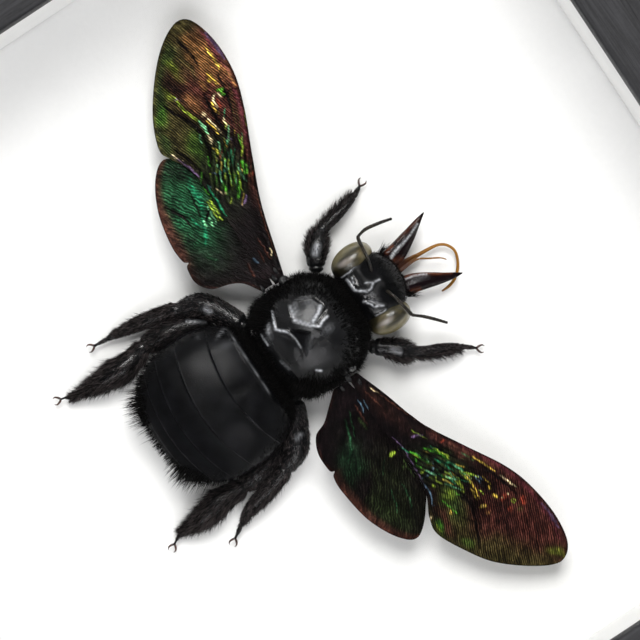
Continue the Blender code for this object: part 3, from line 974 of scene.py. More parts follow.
class BEE_OT_thorax(bpy.types.Operator):
    """Models the thorax: a bare dented disc in a velvet of hair"""

    bl_idname = "bee.thorax"
    bl_label = "Thorax"

    def execute(self, context):
        made = new_ball("thorax_shell", setting("bee_body").detail)
        points = rounded_mass(made, THORAX_CENTRE, THORAX_RADII, 2.35)
        x, y, height = points.T
        top = smooth(6.0, 9.0, height)
        height += top * thorax_relief(x, y)
        height -= 0.7 * top * smooth(-2.4, -3.6, y)
        points[:, 2] = np.maximum(height, LOWEST_SHELL)
        write_points(made, on_board(points))
        right = 0.12 * smooth(0.8, 2.2, x) * smooth(3.2, 2.0, np.abs(y - 0.8))
        mark(made, "dull", np.clip(1.2 * thorax_pit(x, y) + right, 0, 1))
        # Painted highlights on the disc's ridges, its facet and two sheen patches, stored as the pale
        # marks
        edges = ridges(x, y, THORAX_EDGES)
        facet = [(-3.9, 2.0), (-3.2, 4.1), (-2.0, 4.8), (-1.0, 3.1), (-2.1, 1.4)]
        edges += 0.025 * inside(x, y, facet, 0.2)
        edges += 0.1 * blob(x, y, (0.6, 4.0), (0.45, 0.65))
        edges += 0.07 * blob(x, y, (-2.3, -1.9), (0.9, 0.45), -38)
        mark(made, "pale", edges * top * np.clip(0.85 + 0.5 * ripple(x, y, 0.33, 15), 0.3, 1.2))
        finish(made, cuticle_material("thorax", 0.25, 0.33, 0.026), ("thorax",))
        self.hair(made)
        self.hinges()
        return {"FINISHED"}

    def hair(self, body):
        def off_hinges(x, y):
            left = blob(x, y, (-6.3, 2.6), (0.8, 1.0)) * (x < 0)
            right = blob(x, y, (5.9, 3.3), (0.8, 1.0)) * (x > 0)
            return 1 - 0.85 * (left + right)

        def off_disc(x, y, height):
            edge = np.hypot(x / 4.7, (y - 1.3) / 4.2) + 0.05 * ripple(x, y, 1.4, 12)
            bare = blob(x, y, (-2.2, -2.45), (1.2, 0.5))
            around = smooth(0.9, 1.13, edge) ** 1.5 * smooth(0.5, 2.5, height)
            return around * (1 - bare) * off_hinges(x, y)

        def sides(x, y, height):
            return smooth(5.3, 5.9, np.abs(x)) * smooth(1, 3, height) * off_hinges(x, y) ** 2

        def rear_corners(x, y, height):
            return smooth(3.0, 4.6, np.abs(x)) * smooth(0.8, -1.5, y) * smooth(1, 3, height)

        def outward(x, y, height):
            return vectors_of(x * 0.1, (y - 1.5) * 0.14, 0.1)

        def rearward(x, y, height):
            return vectors_of(np.sign(x) * 0.5, -0.9, 0)

        def neck(x, y, height):
            return smooth(6.2, 7.0, y) * smooth(3, 6, height)

        def forward(x, y, height):
            return vectors_of(x * 0.08, 0.7, 0)

        coat = Coat(21)
        coat.over_body(body, 13500, off_disc, outward, 0.7, 0.34)
        coat.over_body(body, 3200, rear_corners, rearward, 1.5, 0.3)
        coat.over_body(body, 1100, sides, outward, 1.05, 0.4)
        coat.over_body(body, 1300, neck, forward, 1.0, 0.3)
        coat.build("thorax_pile")

    def hinges(self):
        """The shiny scales and small plates at the wings' roots."""
        lumps = (
            ("left", (-6.5, 2.85, 7.0), (0.5, 0.62, 0.5)), ("left", (-7.2, 2.15, 6.7), (0.5, 0.26, 0.24)),
            ("left", (-6.9, 0.4, 6.2), (0.4, 0.22, 0.24)), ("left", (-7.9, 2.7, 6.7), (0.42, 0.2, 0.18)),
            ("right", (5.6, 3.75, 7.5), (0.5, 0.62, 0.5)), ("right", (6.4, 2.85, 7.0), (0.5, 0.32, 0.26)),
            ("right", (6.9, 1.7, 6.5), (0.4, 0.22, 0.24)), ("right", (7.4, 3.7, 6.9), (0.42, 0.2, 0.18)),
        )
        for side in SIDES:
            pieces = []
            for index, (where, centre, radii) in enumerate(lumps):
                if where != side:
                    continue
                lump = new_ball(f"scale_{index}", 4)
                points = rounded_mass(lump, centre, radii, 2.2)
                points[:, 0] += 0.1 * ripple(points[:, 1], points[:, 2], 0.5, index + 9)
                points[:, 2] += 0.1 * ripple(points[:, 0], points[:, 1], 0.4, index)
                write_points(lump, on_board(points))
                pieces.append(lump)
            made = joined(f"wing_scales_{side}", pieces)
            finish(made, cuticle_material("scale", 0.22, 0.5, 0.05))


# ---------------------------------------------------------------- abdomen


ABDOMEN_CENTRE, ABDOMEN_RADII = (0.7, -10.9, 4.5), (8.35, 7.7, 4.4)
SEGMENT_ENDS = (-8.95, -12.9, -15.5, -17.1, -18.2)
FIRST_SEGMENT, SEGMENTS_LENGTH = 4.0, 16.0  # behind the body's middle
SEGMENT_BOW = 0.027  # how far a segment's edge curves forward at the sides
FRONT_RIM = -5.25


def segment_relief(x, y):
    """Each segment's plate rises gently to its edge and drops onto the next."""
    offset = (x - ABDOMEN_CENTRE[0]) ** 2 * SEGMENT_BOW
    start = -FIRST_SEGMENT
    relief = np.zeros_like(x)
    for end in SEGMENT_ENDS:
        place = (start + offset - y) / (start - end)
        on_plate = (place > 0) & (place <= 1)
        relief[on_plate] += 0.07 * place[on_plate] ** 3
        start = end
    return relief


class BEE_OT_abdomen(bpy.types.Operator):
    """Models the broad abdomen with its overlapping plates and fringe"""

    bl_idname = "bee.abdomen"
    bl_label = "Abdomen"

    def execute(self, context):
        made = new_ball("abdomen_shell", setting("bee_body").detail)
        points = rounded_mass(made, ABDOMEN_CENTRE, ABDOMEN_RADII, 2.45)
        x, y, height = points.T
        top = smooth(4.0, 6.0, height)
        rim = smooth(FRONT_RIM - 0.12, FRONT_RIM + 0.12, y)
        height += top * segment_relief(x, y) * (1 - rim)
        height -= 0.9 * rim * top * smooth(FRONT_RIM - 0.1, FRONT_RIM + 1.6, y)
        height += 0.14 * top * np.exp(-(((y - FRONT_RIM + 0.1) / 0.14) ** 2)) * smooth(5.0, 3.4, np.abs(x))
        height -= 0.2 * top * blob(x, y, (-5.6, -6.6), (0.5, 1.2), -25)
        height -= 0.16 * top * blob(x, y, (-6.6, -8.7), (0.5, 0.6))
        height -= 0.05 * top * ridge(x, y, ((0.6, -5.6), (0.7, -9.0)), 0.7)
        height += 0.035 * top * ripple(x, y, 4.2, 5)
        points[:, 2] = np.maximum(height, LOWEST_SHELL)
        write_points(made, on_board(points))
        # Painted highlights: a thin line along the front rim and a few smears, stored as the pale marks
        painted_gleam = 0.22 * np.exp(-(((y - FRONT_RIM) / 0.09) ** 2)) * smooth(4.4, 3.0, np.abs(x + 0.8))
        painted_gleam *= np.clip(0.6 + 0.6 * ripple(x, y, 1.3, 18), 0, 1)
        painted_gleam += 0.16 * blob(x, y, (-5.45, -6.1), (0.2, 0.7), 20)
        painted_gleam += 0.05 * blob(x, y, (-4.0, -6.3), (0.45, 0.9), -15)
        painted_gleam += 0.05 * blob(x, y, (-6.5, -8.5), (0.3, 0.2))
        painted_gleam += 0.012 * blob(x, y, (-2.6, -6.6), (1.5, 1.0), -10)
        mark(made, "pale", painted_gleam * top)
        middle = 0.7 * blob(x, y, (0.5, -7.2), (0.9, 2.6)) + 0.85 * smooth(-11.0, -14.5, y)
        mark(made, "dull", np.clip(middle, 0, 0.85))
        finish(made, cuticle_material("abdomen", 0.31, 0.085, 0.008), ("abdomen",))
        self.fringe(made)
        return {"FINISHED"}

    def fringe(self, body):
        (middle_x, middle_y, _), (wide, long, _) = ABDOMEN_CENTRE, ABDOMEN_RADII

        def reach(x, y):
            return np.hypot((x - middle_x) / wide, (y - middle_y) / long)

        def rear(x, y, height):
            return smooth(0.93, 1.0, reach(x, y)) * smooth(-14.5, -16.5, y) * smooth(1.0, 2.5, height)

        def tufts(x, y, height):
            corners = blob(x, y, (-3.4, -17.6), (1.6, 1.5)) + blob(x, y, (5.3, -16.9), (1.3, 1.5))
            return rear(x, y, height) * corners

        def flanks(x, y, height):
            return smooth(0.84, 0.97, reach(x, y)) * smooth(1.0, 3.0, height) * smooth(-16.5, -14, y)

        def backward(x, y, height):
            return vectors_of((x - middle_x) * 0.09, -1.5, -0.1)

        def waist(x, y, height):
            return smooth(-5.15, -4.7, y) * smooth(3, 5, height)

        def lifted(x, y, height):
            return vectors_of(x * 0.04, 0.7, 0)

        coat = Coat(34)
        coat.over_body(body, 1500, rear, backward, 0.9, 0.25)
        coat.over_body(body, 520, tufts, backward, 2.1, 0.12)
        coat.over_body(body, 1800, flanks, lambda x, y, h: backward(x, y, h) * 0.8, 0.6, 0.25)
        coat.over_body(body, 5200, waist, lifted, 0.7, 0.32)
        coat.build("abdomen_fringe")


# ---------------------------------------------------------------- head


HEAD_CENTRE, HEAD_RADII = (-0.45, 10.75, 4.4), (4.35, 3.3, 3.9)


def head_relief(x, y):
    """Bowls, ridges and the stepped brow, in millimetres."""
    relief = -0.3 * blob(x, y, (-2.25, 11.3), (1.1, 0.85))
    relief -= 0.3 * blob(x, y, (1.35, 11.35), (1.0, 0.85))
    relief += 0.26 * ridge(x, y, ((-0.8, 11.8), (-0.9, 11.1), (-0.5, 10.45), (-0.35, 9.85)), 0.2)
    relief += 0.22 * ridge(x, y, ((-0.55, 9.85), (-0.9, 9.3), (-1.35, 8.75), (-2.7, 8.75)), 0.17)
    relief += 0.2 * ridge(x, y, ((0.3, 8.9), (0.9, 9.35), (1.5, 9.7), (1.95, 10.7)), 0.17)
    relief += 0.2 * ridge(x, y, ((0.35, 9.6), (0.95, 10.25), (1.2, 10.6)), 0.14)
    relief += 0.2 * ridge(x, y, ((-3.6, 10.6), (-3.3, 9.5), (-3.2, 8.4), (-3.7, 7.8)), 0.15)
    relief += 0.2 * ridge(x, y, ((2.2, 9.0), (2.45, 9.8), (2.45, 10.6)), 0.14)
    relief += 0.16 * ridge(x, y, ((-2.6, 9.35), (-2.0, 9.1)), 0.13)
    relief -= 0.25 * blob(x, y, (-2.1, 9.7), (0.8, 0.4)) + 0.2 * blob(x, y, (0.6, 9.9), (0.5, 0.4), 30)
    relief -= 0.25 * blob(x, y, (0.0, 8.3), (2.4, 0.35))
    relief -= 0.5 * smooth(12.8, 14.0, y)
    return relief + 0.015 * ripple(x, y, 0.7, 3)


# Painted highlights along the ridges of the face: strength, half width, then the line
HEAD_EDGES = (
    (0.55, 0.12, ((-0.75, 11.7), (-0.9, 10.95), (-0.45, 10.4), (-0.4, 9.8))),
    (0.3, 0.09, ((-0.9, 10.9), (-1.2, 10.5), (-1.3, 10.1))),
    (0.7, 0.13, ((-0.5, 9.8), (-0.9, 9.2), (-1.3, 8.75), (-2.7, 8.7))),
    (0.45, 0.1, ((-2.6, 9.3), (-2.0, 9.1))),
    (0.5, 0.12, ((0.3, 8.9), (0.9, 9.4), (1.4, 9.6), (1.9, 10.5))),
    (0.12, 0.3, ((0.7, 9.7), (1.5, 10.2))),
    (0.4, 0.1, ((-3.6, 10.6), (-3.3, 9.4), (-3.25, 8.4), (-3.7, 7.9))),
    (0.35, 0.1, ((2.4, 9.2), (2.45, 10.4))),
    (0.07, 0.35, ((-3.9, 7.5), (-3.0, 7.8))),
    (0.05, 0.35, ((2.4, 8.0), (3.1, 7.9))),
    (0.05, 0.12, ((-3.0, 13.3), (-1.5, 13.8), (1.2, 13.8))),
)


class BEE_OT_head(bpy.types.Operator):
    """Models the head, its eyes and its hair"""

    bl_idname = "bee.head"
    bl_label = "Head and eyes"

    def execute(self, context):
        made = new_ball("head_capsule", setting("bee_body").detail)
        points = rounded_mass(made, HEAD_CENTRE, HEAD_RADII, 2.5)
        x, y, height = points.T
        narrow = 1 - 0.24 * smooth(11.2, 14.0, y)
        points[:, 0] = x = HEAD_CENTRE[0] + (x - HEAD_CENTRE[0]) * narrow
        top = smooth(5.2, 7.2, height)
        height = height + top * head_relief(x, y)
        points[:, 2] = np.maximum(height, LOWEST_SHELL)
        write_points(made, on_board(points))
        bowls = blob(x, y, (-2.3, 11.3), (1.5, 1.15)) + blob(x, y, (1.2, 11.5), (1.3, 1.0))
        mark(made, "dull", np.clip(1.5 * bowls + 0.75 * smooth(11.7, 12.3, y), 0, 1))
        # Painted highlights along the face's ridges, stored as the pale marks
        edges = np.clip(ridges(x, y, HEAD_EDGES), 0, 0.8)
        mark(made, "pale", edges * top * (0.75 + 0.6 * ripple(x, y, 0.5, 16)))
        finish(made, cuticle_material("head", 0.16, 0.5, 0.012), ("head",))
        self.eye("left", (-4.2, 10.35, 5.0), 6)
        self.eye("right", (3.3, 10.35, 5.0), -6)
        self.hair(made)
        return {"FINISHED"}

    def eye(self, side, centre, turn):
        eye = new_ball(f"eye_{side}", 6)
        points = rounded_mass(eye, (0, 0, 0), (1.7, 2.55, 3.0), 2.1)
        spin = np.array(Matrix.Rotation(math.radians(turn), 3, "Z"))
        write_points(eye, on_board(points @ spin.T + np.array(centre)))
        mark(eye, "rim", np.clip((steepness(eye) - 0.3) / 0.32, 0, 1))
        finish(eye, eye_material())

    def hair(self, body):
        def brow(x, y, height):
            aside = np.abs(x - HEAD_CENTRE[0])
            return smooth(11.9, 12.6, y) * smooth(3.3, 2.9, aside) * smooth(2, 4, height)

        def nape(x, y, height):
            return smooth(8.4, 7.9, y) * smooth(3, 5, height)

        def forward(x, y, height):
            return vectors_of((x - HEAD_CENTRE[0]) * 0.12, 0.8, 0.1)

        def upright(x, y, height):
            return vectors_of(x * 0.1, -0.2, 0.5)

        coat = Coat(55)
        coat.over_body(body, 900, brow, forward, 0.3, 0.35)
        tufts = (((-3.1, 13.3, 3.6), (-0.45, 1.0, 0.1)), ((2.35, 13.4, 3.6), (0.55, 1.0, 0.1)))
        count = 45
        for root, aim in tufts:
            roots = np.array(root) + coat.random.normal(0, 0.16, (count, 3))
            aims = np.array(aim) + coat.random.normal(0, 0.16, (count, 3))
            coat.add(roots, aims, coat.random.uniform(0.8, 1.7, count))
        coat.over_body(body, 2200, nape, upright, 0.7, 0.35)
        coat.build("head_pile")


# ---------------------------------------------------------------- mouthparts and antennae


MANDIBLES = {
    "left": (
        (-2.1, 13.0, 3.3, 1.1), (-2.25, 14.9, 3.1, 1.06), (-2.98, 16.9, 2.8, 0.76),
        (-3.4, 17.9, 2.5, 0.57), (-3.84, 18.9, 2.3, 0.36), (-4.3, 20.05, 2.2, 0.06),
    ),
    "right": (
        (1.25, 13.0, 3.3, 1.1), (1.65, 14.9, 3.1, 1.03), (2.5, 16.9, 2.8, 0.74), (2.95, 17.9, 2.5, 0.56),
        (3.36, 18.9, 2.3, 0.36), (3.7, 19.95, 2.2, 0.06),
    ),
}
# The jaws' painted highlight streaks, then their red-brown edges: strength, half width, then the line
JAW_SHINE = {
    "left": (
        (0.5, 0.13, ((-2.05, 14.2), (-2.35, 14.7), (-2.6, 15.5))),
        (0.4, 0.1, ((-2.6, 15.5), (-2.65, 16.1), (-3.0, 17.3), (-3.6, 18.7))),
    ),
    "right": (
        (0.5, 0.08, ((0.8, 14.2), (0.9, 15.1), (1.2, 15.8), (1.6, 16.5))),
        (0.06, 0.3, ((1.3, 14.8), (1.7, 16.4))),
    ),
}
JAW_WARM = {
    "left": (
        (0.9, 0.2, ((-3.15, 15.0), (-2.85, 14.1))), (0.5, 0.3, ((-1.6, 14.2), (-1.3, 15.1))),
        (0.35, 0.25, ((-4.1, 19.0), (-3.7, 17.3), (-3.4, 15.9))),
    ),
    "right": (
        (0.8, 0.2, ((0.5, 14.6), (1.15, 15.9), (2.0, 17.3), (2.9, 18.8))),
        (0.8, 0.22, ((2.6, 14.9), (2.35, 14.1))), (0.3, 0.3, ((0.5, 14.0), (0.6, 15.0))),
    ),
}
TONGUE = (
    (-0.8, 13.8, 2.3, 0.36), (-0.76, 15.2, 1.8, 0.3), (-0.7, 16.6, 1.4, 0.24), (-0.6, 18.2, 1.0, 0.2),
    (-0.4, 19.4, 0.9, 0.17), (0.15, 20.2, 0.9, 0.16), (1.1, 20.6, 0.9, 0.16), (2.1, 20.35, 0.9, 0.16),
    (3.1, 19.7, 0.9, 0.17), (3.8, 18.8, 0.9, 0.18), (4.1, 17.9, 0.9, 0.17), (4.15, 16.9, 0.9, 0.1),
)
PALP = (
    (-0.2, 14.2, 2.4, 0.13), (-0.35, 16.4, 2.2, 0.11), (0.3, 17.7, 2.0, 0.1), (0.95, 18.8, 1.9, 0.09),
    (1.5, 19.3, 1.9, 0.06),
)
SHEATHS = (
    ((-1.05, 13.8, 2.4, 0.24), (-1.0, 15.2, 2.2, 0.18), (-0.85, 16.9, 1.8, 0.08)),
    ((-0.25, 13.8, 2.4, 0.28), (-0.45, 15.0, 2.2, 0.18), (-0.55, 16.7, 1.8, 0.08)),
)
ANTENNAE = {
    "left": (
        (-1.75, 11.45, 7.6, 0.16), (-3.2, 11.85, 8.3, 0.17), (-4.5, 12.05, 7.9, 0.2),
        (-5.55, 12.2, 7.1, 0.22), (-5.98, 12.35, 6.8, 0.2), (-6.12, 12.75, 6.5, 0.17),
        (-6.25, 13.6, 5.8, 0.21), (-6.0, 15.2, 4.8, 0.2), (-5.65, 16.65, 4.0, 0.16),
    ),
    "right": (
        (0.25, 11.55, 7.6, 0.16), (1.6, 12.0, 8.4, 0.17), (2.9, 12.3, 8.0, 0.2), (4.0, 12.5, 7.2, 0.22),
        (4.45, 12.6, 6.9, 0.2), (4.75, 12.9, 6.6, 0.17), (5.35, 13.6, 6.0, 0.2), (6.3, 14.5, 5.1, 0.2),
        (7.4, 15.45, 4.2, 0.16),
    ),
}
ELBOW = 0.5  # share of an antenna's length at its elbow


class BEE_OT_mouthparts(bpy.types.Operator):
    """Models the ridged mandibles, the amber tongue with its sheaths and the palp"""

    bl_idname = "bee.mouthparts"
    bl_label = "Mandibles and tongue"

    def execute(self, context):
        for side in SIDES:
            limb = Limb(MANDIBLES[side], flat=0.72)
            made = limb.build(f"jaw_{side}", 48, 110, self.ribs)
            x, y, _ = read_points(made).T / MM
            # Painted highlights along the jaw's streaks, on its flatter faces
            shine = ridges(x, y, JAW_SHINE[side]) * smooth(0.9, 0.6, steepness(made))
            mark(made, "pale", shine * np.clip(0.8 + 0.6 * ripple(x, y, 0.3, 41), 0.2, 1.2))
            warm = ridges(x, y, JAW_WARM[side]) + 0.5 * smooth(0.6, 0.95, steepness(made))
            mark(made, "warm", np.clip(warm, 0, 1))
            finish(made, mandible_material(), (f"mandible_{side}",))
        pieces = [Limb(TONGUE).build("tongue_rod", 18, 160, self.tongue_rings)]
        pieces += [Limb(route, flat=0.6).build(f"sheath_{i}", 14, 40) for i, route in enumerate(SHEATHS)]
        finish(joined("tongue_and_sheaths", pieces), tongue_material(), ("tongue",))
        palp = Limb(PALP, joints=(0.45, 0.72, 0.88), joint_depth=0.35)
        finish(palp.build("palp", 12, 60), tongue_material(), ("labial_palp",))
        return {"FINISHED"}

    def ribs(self, share, angle):
        """Long ridges and grooves that fade out towards the tip."""
        ribs = np.cos(angle * 5 + 0.6) * 0.09 + np.cos(angle * 9 - 0.8) * 0.035
        return 1 + ribs * smooth(1.0, 0.55, share) * smooth(0.0, 0.12, share)

    def tongue_rings(self, share, angle):
        return 1 + 0.05 * np.sin(share * 420) * smooth(0.3, 0.45, share)


class BEE_OT_antennae(bpy.types.Operator):
    """Models the elbowed antennae with their short joints"""

    bl_idname = "bee.antennae"
    bl_label = "Antennae"

    def execute(self, context):
        joints = [ELBOW, *(ELBOW + 0.06 + 0.045 * step for step in range(10))]
        for side in SIDES:
            limb = Limb(ANTENNAE[side], joints=joints, joint_depth=0.24, joint_width=0.006)
            made = limb.build(f"feeler_{side}", 16, 220)
            finish(made, antenna_material(), (f"antenna_{side}",))
        return {"FINISHED"}


# ---------------------------------------------------------------- legs


LEGS = {
    "foreleg_left": (
        (-5.2, 6.3, 3.0, 0.9), (-6.6, 7.2, 2.8, 1.05), (-7.8, 8.2, 2.7, 1.1), (-8.8, 9.3, 2.4, 0.72),
        (-9.1, 10.4, 2.2, 0.6), (-9.35, 11.8, 2.0, 0.56), (-9.7, 13.3, 1.7, 0.42),
        (-10.05, 14.4, 1.3, 0.33), (-10.4, 15.2, 1.0, 0.24), (-10.75, 15.85, 0.8, 0.18),
    ),
    "foreleg_right": (
        (4.7, 6.6, 3.0, 0.9), (5.9, 8.2, 2.8, 1.0), (7.1, 9.5, 2.7, 1.1), (8.1, 10.6, 2.4, 0.72),
        (8.75, 11.7, 2.2, 0.6), (9.25, 12.9, 2.0, 0.56), (9.8, 14.2, 1.7, 0.42), (10.4, 15.2, 1.3, 0.32),
        (11.1, 16.1, 1.0, 0.22), (11.65, 16.75, 0.8, 0.17),
    ),
    "midleg_left": (
        (-3.8, -3.4, 3.6, 1.35), (-7.0, -4.8, 3.3, 1.35), (-9.3, -6.3, 3.1, 1.3), (-10.2, -8.6, 2.7, 0.9),
        (-10.75, -10.2, 2.3, 0.75), (-11.2, -12.4, 2.0, 0.78), (-11.55, -14.4, 1.6, 0.6),
        (-11.85, -16.4, 1.2, 0.34), (-12.0, -17.8, 1.0, 0.22), (-12.1, -18.9, 0.9, 0.18),
    ),
    "midleg_right": (
        (4.1, -3.3, 3.6, 1.35), (7.6, -4.8, 3.3, 1.35), (9.9, -6.3, 3.2, 1.3), (11.0, -8.4, 2.8, 0.9),
        (11.7, -10.4, 2.3, 0.85), (12.2, -12.4, 2.0, 0.85), (12.7, -14.4, 1.6, 0.58),
        (13.4, -15.8, 1.2, 0.3), (14.1, -16.9, 1.0, 0.22), (14.55, -17.6, 0.9, 0.17),
    ),
    "hindleg_left": (
        (-7.2, -6.2, 1.6, 0.9), (-8.0, -8.6, 2.0, 1.3), (-8.7, -11.6, 2.1, 1.4), (-8.9, -14.0, 1.9, 1.0),
        (-8.5, -15.6, 1.8, 1.05), (-8.2, -17.6, 1.9, 1.35), (-8.3, -20.0, 1.8, 0.95),
        (-8.5, -22.2, 1.4, 0.42), (-8.65, -23.9, 1.0, 0.2), (-9.05, -24.7, 0.9, 0.18),
        (-9.2, -25.3, 0.8, 0.15),
    ),
    "hindleg_right": (
        (7.6, -6.2, 1.6, 0.9), (8.8, -8.8, 2.0, 1.3), (9.7, -11.2, 2.1, 1.4), (10.0, -13.3, 1.9, 1.0),
        (10.1, -14.8, 1.8, 1.0), (10.15, -16.8, 1.9, 1.3), (10.6, -19.2, 1.8, 0.9),
        (10.6, -21.0, 1.4, 0.42), (10.6, -22.1, 1.0, 0.2), (11.0, -23.0, 0.9, 0.18),
        (11.35, -23.6, 0.8, 0.15),
    ),
}
# Painted highlights on the legs: strength, half width, then the line
LEG_SHINE = (
    (0.6, 0.3, ((-7.7, 8.1), (-7.1, 7.4))),
    (0.5, 0.25, ((-8.6, -6.1), (-8.1, -5.9))),
    (0.45, 0.14, ((-7.5, -6.9), (-8.0, -7.6), (-8.7, -8.6))),
    (0.25, 0.2, ((9.0, -5.6), (8.7, -4.9))),
    (0.3, 0.2, ((6.4, 8.6), (7.2, 9.3))),
)
# Hairs for each pair of legs: stretch, count, where on the stretch they start, length, lean, way, width.
# The stretches are 0 for the thigh, 1 for the shin and 2 for the foot, and hair runs to the stretch's end.
# Way and width are in degrees round the leg: 0 is the outer side, 90 the top.
BRUSHES = {
    "foreleg": (
        (0, 800, 0.0, 0.3, 0.75, 90, 180), (0, 420, 0.2, 1.15, 0.6, 0, 45),
        (0, 260, 0.1, 0.8, 0.6, 180, 50), (1, 2000, 0.0, 0.28, 0.8, 90, 180),
        (1, 520, 0.0, 1.45, 0.62, 0, 42), (2, 300, 0.0, 0.25, 0.7, 90, 180),
    ),
    "midleg": (
        (0, 1500, 0.0, 0.55, 0.8, 90, 180), (1, 2600, 0.0, 0.6, 0.85, 90, 180),
        (1, 900, 0.0, 1.0, 0.76, 0, 60), (2, 240, 0.0, 0.25, 0.7, 90, 180),
    ),
    "hindleg": (
        (0, 2600, 0.0, 0.6, 0.75, 90, 180), (1, 2600, 0.0, 1.1, 0.84, 90, 180),
        (1, 1300, 0.0, 1.5, 0.74, 0, 50), (1, 1300, 0.0, 1.6, 0.74, 180, 50),
        (2, 240, 0.0, 0.25, 0.7, 90, 180),
    ),
}


class BEE_OT_legs(bpy.types.Operator):
    """Models the six legs with their claws and dense brushes of hair"""

    bl_idname = "bee.legs"
    bl_label = "Legs"

    def execute(self, context):
        for index, (name, route) in enumerate(LEGS.items()):
            pair = name.split("_")[0]
            limb = Limb(route, flat=0.85, joint_depth=0.22, joint_width=0.012)
            knee, ankle = limb.share_of(3), limb.share_of(8 if pair == "hindleg" else 7)
            toes = [ankle + (1 - ankle) * share for share in (0.0, 0.3, 0.5, 0.68, 0.84)]
            limb.joints = [0.06, knee, *toes]
            shaft = limb.build(f"{name}_armour", 24, 150)
            x, y, _ = read_points(shaft).T / MM
            # Painted highlights on the leg's flatter faces, stored as the pale marks
            mark(shaft, "pale", ridges(x, y, LEG_SHINE) * smooth(0.8, 0.5, steepness(shaft)))
            finish(shaft, cuticle_material("leg", 0.26, 0.26, 0.05), (name,))
            finish(joined(f"{name}_claws", self.claws(name, route)), claw_material())
            self.brush(name, limb, BRUSHES[pair], (0.08, knee, ankle, 0.96), index)
        return {"FINISHED"}

    def claws(self, name, route):
        """Two hooked claws that spread from the last joint."""
        tip, before = np.array(route[-1][:3]), np.array(route[-2][:3])
        along = unit((tip - before) * (1, 1, 0))
        side = np.array((along[1], -along[0], 0))
        steps = (
            (-0.1, 0.04, 0.05, 0.14), (0.12, 0.26, 0.08, 0.13), (0.42, 0.42, 0.0, 0.1),
            (0.68, 0.38, -0.2, 0.05), (0.78, 0.28, -0.35, 0.02),
        )
        pieces = []
        for sign in (-1, 1):
            hook = [(*(tip + along * ahead + side * sign * wide + (0, 0, high)), size)
                    for ahead, wide, high, size in steps]
            pieces.append(Limb(hook).build(f"{name}_claw_{sign}", 10, 24))
        return pieces

    def brush(self, name, limb, hairs, ends, seed):
        """Hair on the limb; its frame's angle 0 is +X on a foreleg and -X on the legs that point back."""
        points_back = not name.startswith("foreleg")
        outer_at_zero = name.endswith("right") != points_back
        coat = Coat(100 + seed)
        for stretch, count, start, length, lean, way, wide in hairs:
            low, high = ends[stretch], ends[stretch + 1]
            way = way if outer_at_zero else 180 - way
            arc = (math.radians(way - wide), math.radians(way + wide))
            coat.along_limb(limb, count, (low + (high - low) * start, high), length, lean, arc, 0.16)
        coat.build(f"{name}_brush", thickness=0.9, paleness=1.0)


# ---------------------------------------------------------------- wings


FOREWING_EDGES = {
    "left": (
        (
            (-6.6, 3.1), (-9.8, 4.0), (-15.0, 5.5), (-20.0, 7.6), (-25.0, 9.8), (-29.0, 11.0),
            (-33.0, 11.1), (-36.2, 10.2), (-37.0, 8.6),
        ),
        (
            (-6.6, 1.9), (-10.0, 1.3), (-16.0, 1.3), (-22.0, 1.0), (-24.6, -0.2), (-26.2, -0.7),
            (-29.6, 0.7), (-33.4, 3.5), (-35.9, 6.2), (-37.0, 8.6),
        ),
    ),
    "right": (
        (
            (6.4, 4.0), (10.0, 5.3), (15.0, 6.9), (19.5, 9.4), (24.0, 12.0), (27.5, 13.2), (31.8, 13.7),
            (35.2, 13.1), (36.4, 11.3),
        ),
        (
            (6.4, 2.9), (10.0, 2.8), (15.0, 3.1), (21.0, 3.2), (24.2, 1.9), (26.2, 1.6), (29.0, 2.9),
            (32.3, 5.1), (35.2, 8.6), (36.4, 11.3),
        ),
    ),
}
HINDWING_EDGES = {
    "left": (
        (
            (-6.8, 1.6), (-12.0, 2.2), (-20.0, 2.1), (-23.4, 0.8), (-25.0, -0.9),
        ),
        (
            (-6.8, 0.2), (-8.6, -1.0), (-9.4, -2.3), (-10.1, -4.3), (-11.6, -5.4), (-13.5, -5.3),
            (-13.9, -4.85), (-14.4, -5.3), (-16.6, -5.4), (-20.4, -4.6), (-23.6, -2.9), (-25.0, -0.9),
        ),
    ),
    "right": (
        (
            (6.6, 2.6), (12.0, 3.6), (20.0, 3.6), (23.2, 2.1), (25.4, -0.3),
        ),
        (
            (6.6, 0.8), (8.1, -0.9), (9.1, -2.1), (9.8, -3.6), (11.6, -4.5), (13.8, -4.5), (14.2, -4.05),
            (14.7, -4.5), (16.6, -4.6), (20.8, -3.9), (24.2, -2.2), (25.4, -0.3),
        ),
    ),
}
ROOT_HEIGHT, ROOT_X, SLOPE = 6.6, 7.0, 0.117
BEAD_PITCH = 0.24  # mm between beads along a line

